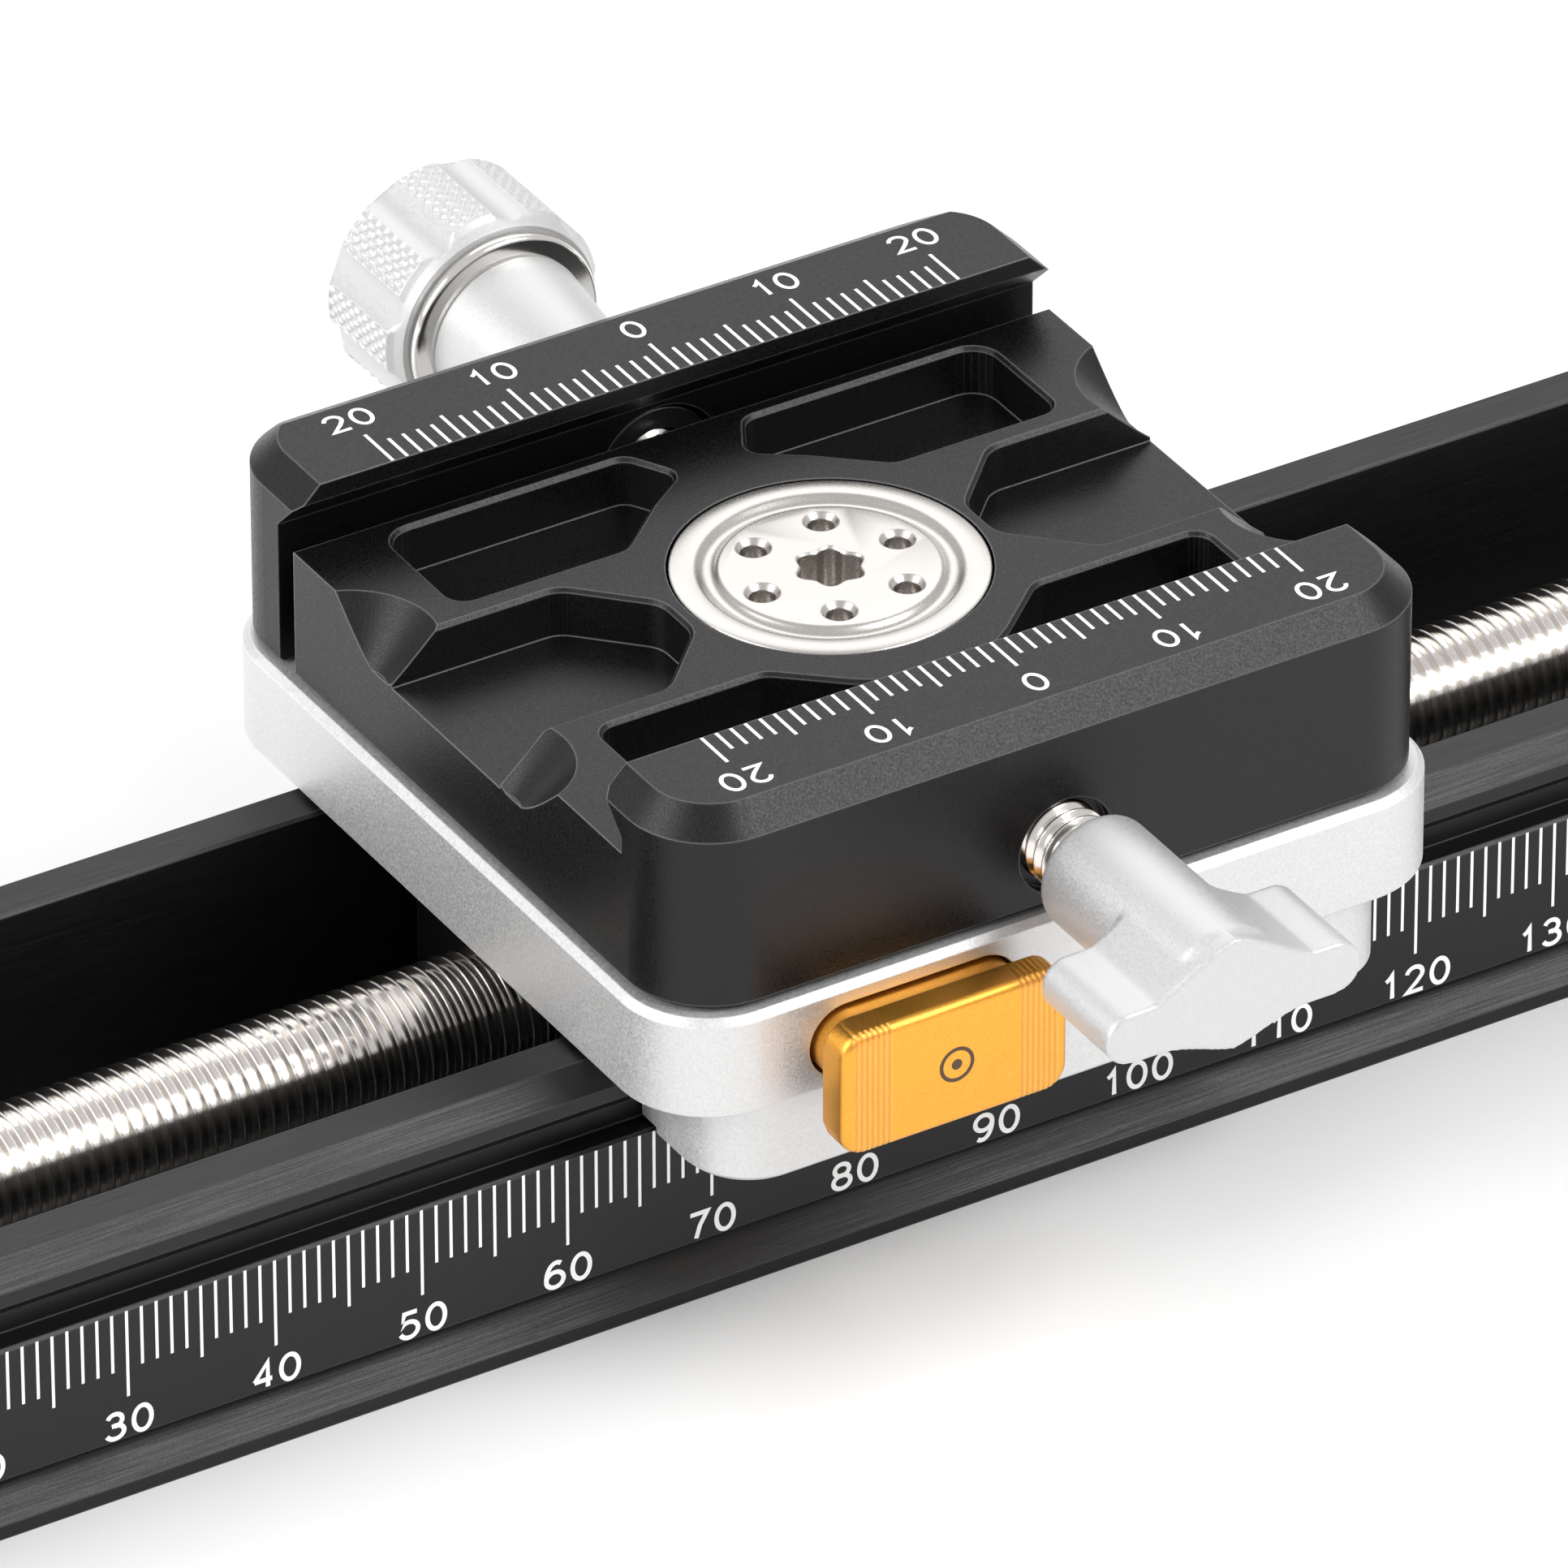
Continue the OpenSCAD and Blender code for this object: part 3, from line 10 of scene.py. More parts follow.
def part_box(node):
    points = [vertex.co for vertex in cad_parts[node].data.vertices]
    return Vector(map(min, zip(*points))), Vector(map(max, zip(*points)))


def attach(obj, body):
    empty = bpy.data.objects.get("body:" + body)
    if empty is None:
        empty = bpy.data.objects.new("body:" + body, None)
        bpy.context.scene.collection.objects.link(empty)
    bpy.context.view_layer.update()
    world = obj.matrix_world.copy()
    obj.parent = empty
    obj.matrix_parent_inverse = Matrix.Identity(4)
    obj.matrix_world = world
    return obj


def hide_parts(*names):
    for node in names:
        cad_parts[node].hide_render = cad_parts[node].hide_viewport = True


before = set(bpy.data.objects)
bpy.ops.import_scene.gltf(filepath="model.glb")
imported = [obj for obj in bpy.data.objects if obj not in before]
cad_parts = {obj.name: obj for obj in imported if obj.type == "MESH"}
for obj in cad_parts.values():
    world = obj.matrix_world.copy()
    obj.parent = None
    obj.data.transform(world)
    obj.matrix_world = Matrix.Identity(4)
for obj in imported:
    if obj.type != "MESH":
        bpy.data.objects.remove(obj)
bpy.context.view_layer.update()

# Camera. A long lens in front of the rail's left half, well above it, as in the photograph.
# The pivot disc's top is the point that the camera was fitted to, and it lies off the frame's middle.
MM = 0.001
disc_top = Vector((0, 0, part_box("hub_axle")[1].z))
view_azimuth = math.radians(-31.19)
view_elevation = math.radians(33.13)
view_roll = math.radians(-0.11)
view_distance = 1086.17 * MM
frame_right_of_disc = -2.772 * MM
frame_above_disc = -13.112 * MM
lens_mm = 415.07
sensor_mm = 36

toward_camera = Vector((
    math.cos(view_elevation) * math.sin(view_azimuth),
    -math.cos(view_elevation) * math.cos(view_azimuth),
    math.sin(view_elevation),
))
level_right = Vector((math.cos(view_azimuth), math.sin(view_azimuth), 0))
level_up = toward_camera.cross(level_right)
camera_right = level_right * math.cos(view_roll) + level_up * math.sin(view_roll)
camera_up = level_up * math.cos(view_roll) - level_right * math.sin(view_roll)
camera_place = (
    disc_top + toward_camera * view_distance
    + camera_right * frame_right_of_disc + camera_up * frame_above_disc
)
camera_data = bpy.data.cameras.new("camera")
camera_data.lens = lens_mm
camera_data.sensor_width = sensor_mm
camera = bpy.data.objects.new("camera", camera_data)
camera.matrix_world = Matrix.Translation(camera_place) @ Matrix(
    (camera_right, camera_up, toward_camera)
).transposed().to_4x4()
bpy.context.scene.collection.objects.link(camera)
bpy.context.scene.camera = camera
bpy.context.scene.view_settings.view_transform = "Standard"

# Studio. A plain pale floor under a bright room, with wide soft lights.
# The light behind gives the level black faces their sheen, the right one the bevels, the left one
# the silver end face.
floor_z = -0.02 * MM
floor_half = 3.0
floor_grey = 0.91
room_light = 0.72
light_distance = 1.6


def plain_material(name, colour, roughness, metallic=0.0, specular=0.5):
    """A material of one colour, and its shader."""
    material = bpy.data.materials.new(name)
    material.use_nodes = True
    shader = material.node_tree.nodes["Principled BSDF"]
    shader.inputs["Base Color"].default_value = (*colour, 1)
    shader.inputs["Roughness"].default_value = roughness
    shader.inputs["Metallic"].default_value = metallic
    shader.inputs["Specular IOR Level"].default_value = specular
    return material, shader


floor_mesh = bpy.data.meshes.new("floor")
floor_mesh.from_pydata(
    [(sx * floor_half, sy * floor_half, floor_z) for sx, sy in ((-1, -1), (1, -1), (1, 1), (-1, 1))],
    [], [(0, 1, 2, 3)],
)
floor = bpy.data.objects.new("floor", floor_mesh)
bpy.context.scene.collection.objects.link(floor)
floor_material, floor_shader = plain_material("pale_floor", [floor_grey] * 3, roughness=0.7)
paper = floor_material.node_tree.nodes.new("ShaderNodeTexNoise")
paper.inputs["Scale"].default_value = 900
paper.inputs["Detail"].default_value = 4
paper_bump = floor_material.node_tree.nodes.new("ShaderNodeBump")
paper_bump.inputs["Strength"].default_value = 0.25
paper_bump.inputs["Distance"].default_value = 0.1 * MM
floor_material.node_tree.links.new(paper.outputs["Fac"], paper_bump.inputs["Height"])
floor_material.node_tree.links.new(paper_bump.outputs["Normal"], floor_shader.inputs["Normal"])
floor_mesh.materials.append(floor_material)

world = bpy.data.worlds.new("room")
bpy.context.scene.world = world
world.use_nodes = True
world.node_tree.nodes["Background"].inputs["Color"].default_value = (1, 1, 1, 1)
world.node_tree.nodes["Background"].inputs["Strength"].default_value = room_light


def soft_light(name, azimuth_deg, elevation_deg, width, height, watts):
    """A rectangular soft box that faces the carriage."""
    azimuth, elevation = math.radians(azimuth_deg), math.radians(elevation_deg)
    away = Vector((
        math.cos(elevation) * math.sin(azimuth),
        -math.cos(elevation) * math.cos(azimuth),
        math.sin(elevation),
    ))
    light = bpy.data.lights.new(name, "AREA")
    light.shape = "RECTANGLE"
    light.size = width
    light.size_y = height
    light.energy = watts
    obj = bpy.data.objects.new(name, light)
    obj.location = disc_top + away * light_distance
    obj.rotation_euler = away.to_track_quat("Z", "Y").to_euler()
    bpy.context.scene.collection.objects.link(obj)


soft_light("back_light", azimuth_deg=150, elevation_deg=40, width=1.4, height=0.8, watts=4.8)
soft_light("right_light", azimuth_deg=38, elevation_deg=46, width=0.8, height=0.8, watts=13.5)
soft_light("left_light", azimuth_deg=-100, elevation_deg=30, width=1.0, height=1.0, watts=17)

# Rail. One aluminium extrusion, a dovetail foot below and a screw channel above, bead blasted
# and black anodised. Its drawn faces keep faint lines along their length.


def node_group(name, inputs, outputs):
    """A shader node group: inputs are (name, kind, default), outputs are (name, kind)."""
    group = bpy.data.node_groups.new(name, "ShaderNodeTree")
    for socket, kind, default in inputs:
        item = group.interface.new_socket(socket, in_out="INPUT", socket_type=kind)
        item.default_value = default
    for socket, kind in outputs:
        group.interface.new_socket(socket, in_out="OUTPUT", socket_type=kind)
    nodes = group.nodes
    return group, nodes.new("NodeGroupInput"), nodes.new("NodeGroupOutput")


def math_node(tree, operation, a, b=None, c=None, clamp=False):
    """A Math node's output, fed by numbers or by other nodes' sockets."""
    node = tree.nodes.new("ShaderNodeMath")
    node.operation = operation
    node.use_clamp = clamp
    for socket, value in zip(node.inputs, (a, b, c)):
        if isinstance(value, bpy.types.NodeSocket):
            tree.links.new(value, socket)
        elif value is not None:
            socket.default_value = value
    return node.outputs[0]


# Grain of a blasted face, with drawn lines along one axis
grain, grain_in, grain_out = node_group(
    "blasted_grain",
    [
        ("Grain Per Metre", "NodeSocketFloat", 9000.0),
        ("Line Stretch", "NodeSocketVector", (1.0, 1.0, 1.0)),
        ("Line Share", "NodeSocketFloat", 0.0),
    ],
    [("Height", "NodeSocketFloat"), ("Fleck", "NodeSocketFloat")],
)
place = grain.nodes.new("ShaderNodeTexCoord")
pits = grain.nodes.new("ShaderNodeTexNoise")
pits.inputs["Detail"].default_value = 3
pits.inputs["Roughness"].default_value = 0.6
grain.links.new(place.outputs["Object"], pits.inputs["Vector"])
grain.links.new(grain_in.outputs["Grain Per Metre"], pits.inputs["Scale"])
stretch = grain.nodes.new("ShaderNodeVectorMath")
stretch.operation = "MULTIPLY"
grain.links.new(place.outputs["Object"], stretch.inputs[0])
grain.links.new(grain_in.outputs["Line Stretch"], stretch.inputs[1])
lines = grain.nodes.new("ShaderNodeTexNoise")
lines.inputs["Detail"].default_value = 2
grain.links.new(stretch.outputs["Vector"], lines.inputs["Vector"])
grain.links.new(grain_in.outputs["Grain Per Metre"], lines.inputs["Scale"])
mix = grain.nodes.new("ShaderNodeMix")
mix.data_type = "FLOAT"
grain.links.new(grain_in.outputs["Line Share"], mix.inputs["Factor"])
grain.links.new(pits.outputs["Fac"], mix.inputs["A"])
grain.links.new(lines.outputs["Fac"], mix.inputs["B"])
grain.links.new(mix.outputs["Result"], grain_out.inputs["Height"])
fleck = math_node(grain, "MULTIPLY_ADD", mix.outputs["Result"], 3.0, -1.0, clamp=True)
grain.links.new(fleck, grain_out.inputs["Fleck"])

# Softly broken edges: the rounded normal, and a mask of how near an edge lies
edge, edge_in, edge_out = node_group(
    "broken_edge",
    [("Edge Strength", "NodeSocketFloat", 6.0)],
    [("Normal", "NodeSocketVector"), ("Edge", "NodeSocketFloat")],
)
rounded_normal = edge.nodes.new("ShaderNodeBevel")
rounded_normal.samples = 4
rounded_normal.inputs["Radius"].default_value = 0.16 * MM
true_normal = edge.nodes.new("ShaderNodeNewGeometry")
likeness = edge.nodes.new("ShaderNodeVectorMath")
likeness.operation = "DOT_PRODUCT"
edge.links.new(rounded_normal.outputs["Normal"], likeness.inputs[0])
edge.links.new(true_normal.outputs["Normal"], likeness.inputs[1])
bend = math_node(edge, "SUBTRACT", 1.0, likeness.outputs["Value"])
nearness = math_node(edge, "MULTIPLY", bend, edge_in.outputs["Edge Strength"], clamp=True)
edge.links.new(rounded_normal.outputs["Normal"], edge_out.inputs["Normal"])
edge.links.new(nearness, edge_out.inputs["Edge"])


def blasted_material(name, colour, worn_and_lit_edge_colour, roughness, metallic=0.0, specular=0.5,
                     grain_per_metre=9000.0, bump_mm=0.004, roughness_spread=0.12, colour_spread=0.15,
                     line_stretch=(1, 1, 1), line_share=0.0, edge_strength=6.0):
    """A blasted and anodised metal: grain in bump, colour and roughness, and broken edges painted
    brighter, partly as wear and partly as a painted highlight.
    """
    material, shader = plain_material(name, colour, roughness, metallic, specular)
    tree = material.node_tree
    grain_node = tree.nodes.new("ShaderNodeGroup")
    grain_node.node_tree = grain
    grain_node.inputs["Grain Per Metre"].default_value = grain_per_metre
    grain_node.inputs["Line Stretch"].default_value = line_stretch
    grain_node.inputs["Line Share"].default_value = line_share
    edge_node = tree.nodes.new("ShaderNodeGroup")
    edge_node.node_tree = edge
    edge_node.inputs["Edge Strength"].default_value = edge_strength

    shade = tree.nodes.new("ShaderNodeMix")
    shade.data_type = "RGBA"
    shade.inputs["A"].default_value = (*[c * (1 - colour_spread) for c in colour], 1)
    shade.inputs["B"].default_value = (*[min(1, c * (1 + colour_spread)) for c in colour], 1)
    tree.links.new(grain_node.outputs["Fleck"], shade.inputs["Factor"])
    # Broken edges painted brighter: partly wear, partly a painted highlight where real edges catch the
    # light.
    edge_wear_and_highlight = tree.nodes.new("ShaderNodeMix")
    edge_wear_and_highlight.data_type = "RGBA"
    edge_wear_and_highlight.inputs["B"].default_value = (*worn_and_lit_edge_colour, 1)
    tree.links.new(edge_node.outputs["Edge"], edge_wear_and_highlight.inputs["Factor"])
    tree.links.new(shade.outputs["Result"], edge_wear_and_highlight.inputs["A"])
    tree.links.new(edge_wear_and_highlight.outputs["Result"], shader.inputs["Base Color"])

    least_roughness = roughness - roughness_spread / 2
    rough = math_node(
        tree, "MULTIPLY_ADD", grain_node.outputs["Fleck"], roughness_spread, least_roughness,
    )
    tree.links.new(rough, shader.inputs["Roughness"])
    bump = tree.nodes.new("ShaderNodeBump")
    bump.inputs["Strength"].default_value = 1.0
    bump.inputs["Distance"].default_value = bump_mm * MM
    tree.links.new(grain_node.outputs["Height"], bump.inputs["Height"])
    tree.links.new(edge_node.outputs["Normal"], bump.inputs["Normal"])
    tree.links.new(bump.outputs["Normal"], shader.inputs["Normal"])
    return material


def finish_node(name, material):
    """Gives a CAD node its finish."""
    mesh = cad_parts[name].data
    mesh.materials.clear()
    mesh.materials.append(material)


# Its edges are painted far lighter than its black: a painted highlight, with some wear.
rail_black = blasted_material(
    "rail_black_anodised", colour=(0.005, 0.005, 0.0053), worn_and_lit_edge_colour=(0.09, 0.09, 0.092),
    roughness=0.4, specular=0.36, bump_mm=0.007, line_stretch=(0.02, 1, 1),
    line_share=0.6, roughness_spread=0.2,
)
finish_node("rail_extrusion", rail_black)

# Rail scale. Millimetre marks and plain numbers, 0 to 180, engraved in the near face and
# filled with white paint. A mark stands every millimetre, longer at 5 and at 10.
near_face_y = -18.9
scale_top_z = 13.14
scale_start_x = -89.8
mark_w = 0.2
mark_proud = 0.01
last_rail_mark = 180
rail_mark_lengths = (4.08, 5.08, 6.06)
number_h, number_stroke, number_drop = 2.06, 0.31, 7.91
digit_w_share, digit_advance_share = 0.73, 0.885
layer_rise, mitre_limit = 0.004, 0.45
scale_white, scale_shader = plain_material("scale_white_paint", (0.95, 0.95, 0.94), roughness=0.55)
paint_grain = scale_white.node_tree.nodes.new("ShaderNodeTexNoise")
paint_grain.inputs["Scale"].default_value = 6000
paint_tone = scale_white.node_tree.nodes.new("ShaderNodeMix")
paint_tone.data_type = "RGBA"
paint_tone.inputs["A"].default_value = (0.9, 0.9, 0.89, 1)
paint_tone.inputs["B"].default_value = (1.0, 1.0, 0.99, 1)
scale_white.node_tree.links.new(paint_grain.outputs["Fac"], paint_tone.inputs["Factor"])
scale_white.node_tree.links.new(paint_tone.outputs["Result"], scale_shader.inputs["Base Color"])


def mesh_piece(name, verts, faces, material, sharp_above_deg=None):
    """A new object from points in millimetres. With an angle given, only sharper edges stay hard."""
    mesh = bpy.data.meshes.new(name)
    mesh.from_pydata([Vector(point) * MM for point in verts], [], faces)
    mesh.materials.append(material)
    if sharp_above_deg is not None:
        mesh.shade_smooth()
        mesh.set_sharp_from_angle(angle=math.radians(sharp_above_deg))
    obj = bpy.data.objects.new(name, mesh)
    bpy.context.scene.collection.objects.link(obj)
    return obj


def join_boxes(name, boxes, material):
    """One piece of thin painted boxes, each given by its lowest and highest corners."""
    box_faces = ((0, 2, 3, 1), (4, 5, 7, 6), (0, 1, 5, 4), (2, 6, 7, 3), (0, 4, 6, 2), (1, 3, 7, 5))
    verts, faces = [], []
    for low, high in boxes:
        faces += [[len(verts) + i for i in face] for face in box_faces]
        verts += [
            (x, y, z) for z in (low[2], high[2]) for y in (low[1], high[1]) for x in (low[0], high[0])
        ]
    return mesh_piece(name, verts, faces, material)


def arc(middle_x, middle_y, half_w, half_h, start, end, steps=14):
    """Points of an elliptic arc, from one angle in degrees to another."""
    turns = [math.radians(start + (end - start) * step / steps) for step in range(steps + 1)]
    return [(middle_x + half_w * math.cos(turn), middle_y + half_h * math.sin(turn)) for turn in turns]


# Middle lines of the digits, in a square of 1. A line that ends where it starts is a closed one.
six = [arc(0.5, 0.31, 0.5, 0.31, 0, 360, 24), arc(0.58, 0.36, 0.58, 0.64, 182, 62)]
digit_lines = {
    "0": [arc(0.5, 0.5, 0.5, 0.5, 0, 360, 28)],
    "1": [[(0.28, 0.74), (0.48, 0.83), (0.66, 1), (0.66, 0)]],
    "2": [arc(0.49, 0.72, 0.47, 0.28, 172, -30) + [(0.62, 0.36), (0.02, 0), (1, 0)]],
    "3": [arc(0.46, 0.75, 0.42, 0.25, 160, -90), arc(0.47, 0.27, 0.5, 0.27, 112, -162)],
    "4": [[(0.76, 0), (0.76, 1), (0, 0.3)], [(0, 0.3), (1, 0.3)]],
    "5": [[(0.92, 1), (0.2, 1), (0.08, 0.52)] + arc(0.46, 0.32, 0.52, 0.32, 132, -160)],
    "6": six,
    "7": [[(0, 1), (1, 1), (0.56, 0.5), (0.34, 0)]],
    "8": [arc(0.5, 0.76, 0.42, 0.24, 0, 360, 22), arc(0.5, 0.27, 0.5, 0.27, 0, 360, 22)],
    "9": [[(1 - x, 1 - y) for x, y in line] for line in six],
}


def stroke_strip(line, half_stroke):
    """Points left and right of a line, mitred at its bends."""
    closed = math.dist(line[0], line[-1]) < 1e-6
    points = [Vector(point) for point in (line[:-1] if closed else line)]
    count = len(points)
    sides = []
    for i, point in enumerate(points):
        before = points[i - 1] if closed or i else None
        after = points[(i + 1) % count] if closed or i < count - 1 else None
        ways = [(b - a).normalized() for a, b in ((before, point), (point, after)) if a and b]
        way = sum(ways, Vector((0, 0))).normalized()
        side = Vector((-way.y, way.x)) * half_stroke / max(way.dot(ways[0]), mitre_limit)
        sides += [point + side, point - side]
    spans = range(count if closed else count - 1)
    ends = len(sides)
    return sides, [(2 * i, 2 * i + 1, (2 * i + 3) % ends, (2 * i + 2) % ends) for i in spans]


def scale_numbers(name, numbers, height, stroke, across, upward, body):
    """Painted numbers, each a text and its middle. The unit vectors give reading direction and top."""
    across, upward = Vector(across), Vector(upward)
    out = across.cross(upward)
    digit_w, advance = height * digit_w_share, height * digit_advance_share
    verts, faces = [], []
    for text, middle in numbers:
        for place_in_text, digit in enumerate(text):
            left = (place_in_text - (len(text) - 1) / 2) * advance - digit_w / 2 + stroke / 2
            for layer, line in enumerate(digit_lines[digit]):
                sized = [
                    (left + x * (digit_w - stroke), (y - 0.5) * (height - stroke)) for x, y in line
                ]
                sides, strip = stroke_strip(sized, stroke / 2)
                base = len(verts)
                for lift in (mark_proud + layer * layer_rise, -mark_proud):
                    verts += [Vector(middle) + across * u + upward * v + out * lift for u, v in sides]
                below = len(sides)
                for left_a, right_a, right_b, left_b in strip:
                    a, b, c, d = (base + i for i in (left_a, right_a, right_b, left_b))
                    faces += [(a, b, c, d), (a, d, d + below, a + below), (b, b + below, c + below, c)]
    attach(mesh_piece(name, verts, faces, scale_white), body)


def mark_length(step, short, middle, long):
    """A long mark at every tenth step, a middling one at every fifth, else a short one."""
    return long if step % 10 == 0 else middle if step % 5 == 0 else short


rail_marks = []
for step in range(last_rail_mark + 1):
    x = scale_start_x + step
    length = mark_length(step, *rail_mark_lengths)
    rail_marks.append((
        (x - mark_w / 2, near_face_y - mark_proud, scale_top_z - length),
        (x + mark_w / 2, near_face_y + mark_proud, scale_top_z),
    ))
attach(join_boxes("rail_scale_marks", rail_marks, scale_white), "rail")
scale_numbers("rail_scale_numbers", [
    (str(step), (scale_start_x + step, near_face_y, scale_top_z - number_drop))
    for step in range(0, last_rail_mark + 1, 10)
], number_h, number_stroke, (1, 0, 0), (0, 0, 1), "rail")

# Tripod insert. A flanged steel bush, turned and tapped with the large tripod thread, pressed
# down into the foot from the channel, where its flange rests.
insert_body_r, insert_flange_r, insert_bevel = 6.3, 7.5, 0.2
insert_floor_z, insert_top_z = 4.6, 6.0
tripod_pitch, tripod_crest_r, tripod_root_r = 1.5875, 3.97, 4.7
thread_columns = 48
weld_reach, speck_size = 0.002, 0.001


def turned_steel_material(name, colour, roughness, rings_per_metre, ring_bump_mm):
    """Turned steel: the tool's fine rings about the upright axis, from the distance to it."""
    # Edges painted a little brighter: slight wear and a painted highlight.
    worn_and_lit_edge_colour = [min(1, c * 1.15) for c in colour]
    material = blasted_material(
        name, colour, worn_and_lit_edge_colour, roughness, metallic=1.0, bump_mm=0.0006, roughness_spread=0.08,
        colour_spread=0.04,
    )
    tree = material.node_tree
    place = tree.nodes.new("ShaderNodeTexCoord")
    rings = tree.nodes.new("ShaderNodeTexWave")
    rings.wave_type = "RINGS"
    rings.rings_direction = "Z"
    rings.inputs["Scale"].default_value = rings_per_metre
    rings.inputs["Distortion"].default_value = 0.6
    rings.inputs["Detail"].default_value = 2
    tree.links.new(place.outputs["Object"], rings.inputs["Vector"])
    ring_bump = tree.nodes.new("ShaderNodeBump")
    ring_bump.inputs["Strength"].default_value = 1.0
    ring_bump.inputs["Distance"].default_value = ring_bump_mm * MM
    shader = tree.nodes["Principled BSDF"]
    earlier = shader.inputs["Normal"].links[0].from_socket
    tree.links.new(rings.outputs["Fac"], ring_bump.inputs["Height"])
    tree.links.new(earlier, ring_bump.inputs["Normal"])
    tree.links.new(ring_bump.outputs["Normal"], shader.inputs["Normal"])
    return material


def thread_surface(pitch, crest_r, root_r, start, end, columns, turn_to=lambda u, v, w: (u, v, w),
                   crest_end=0.11, root_start=0.46, root_end=0.66):
    """Right hand thread about a local axis: crest, flank, root, flank, run out at both ends."""
    outward = 1 if crest_r > root_r else -1
    stops = ((0.0, crest_r), (crest_end, crest_r), (root_start, root_r), (root_end, root_r))
    rows = [
        ((turn + share) * pitch, radius)
        for turn in range(math.floor(start / pitch) - 2, math.ceil(end / pitch) + 2)
        for share, radius in stops
    ]
    verts, faces = [], []
    for along, radius in rows:
        for column in range(columns):
            angle = 2 * math.pi * column / columns
            w = min(max(along + pitch * column / columns, start), end)
            room = min(w - start, end - w)
            r = outward * min(outward * radius, outward * root_r + room)
            verts.append(turn_to(r * math.cos(angle), r * math.sin(angle), w))
    for row in range(len(rows) - 1):
        for column in range(columns):
            here = row * columns + column
            beside = here + 1 if column < columns - 1 else (row + len(stops)) * columns
            if beside + columns < len(verts):
                face = (here, beside, beside + columns, here + columns)
                faces.append(face if outward > 0 else face[::-1])
    return verts, faces


def weld(obj, sharp_above_deg=None, close=False):
    """Joins points that coincide, and with close set fills what stays open."""
    work = bmesh.new()
    work.from_mesh(obj.data)
    bmesh.ops.remove_doubles(work, verts=work.verts, dist=weld_reach * MM)
    bmesh.ops.dissolve_degenerate(work, edges=work.edges, dist=speck_size * MM)
    if close:
        bmesh.ops.holes_fill(work, edges=[e for e in work.edges if e.is_boundary], sides=0)
    bmesh.ops.recalc_face_normals(work, faces=work.faces)
    work.to_mesh(obj.data)
    work.free()
    if sharp_above_deg is not None:
        obj.data.shade_smooth()
        obj.data.set_sharp_from_angle(angle=math.radians(sharp_above_deg))


def turned(profile, columns, turn_to=lambda u, v, w: (u, v, w), radius_at=None, caps=True):
    """Points and faces of (radius, height) rows turned about a local axis."""
    verts, faces = [], []
    for row, (radius, along) in enumerate(profile):
        for column in range(columns):
            angle = 2 * math.pi * column / columns
            r = radius_at(row, column) if radius_at else radius
            verts.append(turn_to(r * math.cos(angle), r * math.sin(angle), along))
    for row in range(len(profile) - 1):
        for column in range(columns):
            here, beside = row * columns + column, row * columns + (column + 1) % columns
            faces.append((here, beside, beside + columns, here + columns))
    if caps:
        faces.append(tuple(reversed(range(columns))))
        faces.append(tuple(range(len(verts) - columns, len(verts))))
    return verts, faces


def joined(*parts):
    """Points and faces of several parts as one."""
    verts, faces = [], []
    for part_verts, part_faces in parts:
        faces += [tuple(i + len(verts) for i in face) for face in part_faces]
        verts += part_verts
    return verts, faces


upright_steel = turned_steel_material(
    "turned_steel_upright", (0.66, 0.64, 0.62), roughness=0.26, rings_per_metre=2600,
    ring_bump_mm=0.0008,
)
insert_shell = turned([
    (tripod_root_r, 0.0), (insert_body_r - insert_bevel, 0.0), (insert_body_r, insert_bevel),
    (insert_body_r, insert_floor_z), (insert_flange_r, insert_floor_z),
    (insert_flange_r, insert_top_z - insert_bevel), (insert_flange_r - insert_bevel, insert_top_z),
    (tripod_root_r, insert_top_z),
], thread_columns, caps=False)
insert_thread = thread_surface(
    tripod_pitch, tripod_crest_r, tripod_root_r, 0.0, insert_top_z, thread_columns,
)
tripod_insert = mesh_piece(
    "tripod_insert_threaded", *joined(insert_shell, insert_thread), upright_steel,
)
weld(tripod_insert, sharp_above_deg=30)
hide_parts("tripod_insert")
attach(tripod_insert, "rail")

# End plates and the cap. Aluminium plates milled with rounded corners, blasted and black
# anodised, screwed to the rail's ends. A pressed cap closes the screw's left end.
end_black = blasted_material(
    "end_plate_black_anodised", colour=(0.005, 0.005, 0.0053), worn_and_lit_edge_colour=(0.05, 0.05, 0.052),
    roughness=0.42, specular=0.36,
)
for name in ("end_plate_left", "end_plate_right", "screw_cap"):
    finish_node(name, end_black)

# Small black screws and clips. Hardened steel with a blackened, slightly oily finish: the end
# plate screws, the set screw in the drive knob, the gib and housing screws, and two clips.
black_screw = blasted_material(
    "blackened_screw_steel", colour=(0.05, 0.05, 0.055), worn_and_lit_edge_colour=(0.2, 0.2, 0.2), roughness=0.35,
    metallic=0.8, bump_mm=0.001,
)
for name in (
    "end_screws", "retaining_clip", "knob_set_screw", "gib_screws", "housing_screws", "stud_clip",
):
    finish_node(name, black_screw)

# Brass pieces. Turned bearing bushes and thrust washers at the rail's ends, the gib strip that
# takes up play, the half nut on the lead screw, and the wing screw's soft pad.
bush_brass = blasted_material(
    "turned_brass", colour=(0.72, 0.52, 0.24), worn_and_lit_edge_colour=(0.85, 0.65, 0.35), roughness=0.3,
    metallic=1.0, bump_mm=0.001, roughness_spread=0.1,
)
for name in ("bush_left", "bush_right", "thrust_washers", "gib_strip", "half_nut", "brake_pad"):
    finish_node(name, bush_brass)

# Bumpers. Moulded black rubber buttons whose stems are pressed into the end plates, two at each
# end. The carriage's housing comes to a stop against them.
bumper_rubber = blasted_material(
    "bumper_rubber", colour=(0.02, 0.02, 0.02), worn_and_lit_edge_colour=(0.03, 0.03, 0.03), roughness=0.75,
    bump_mm=0.006,
)
finish_node("bumpers", bumper_rubber)

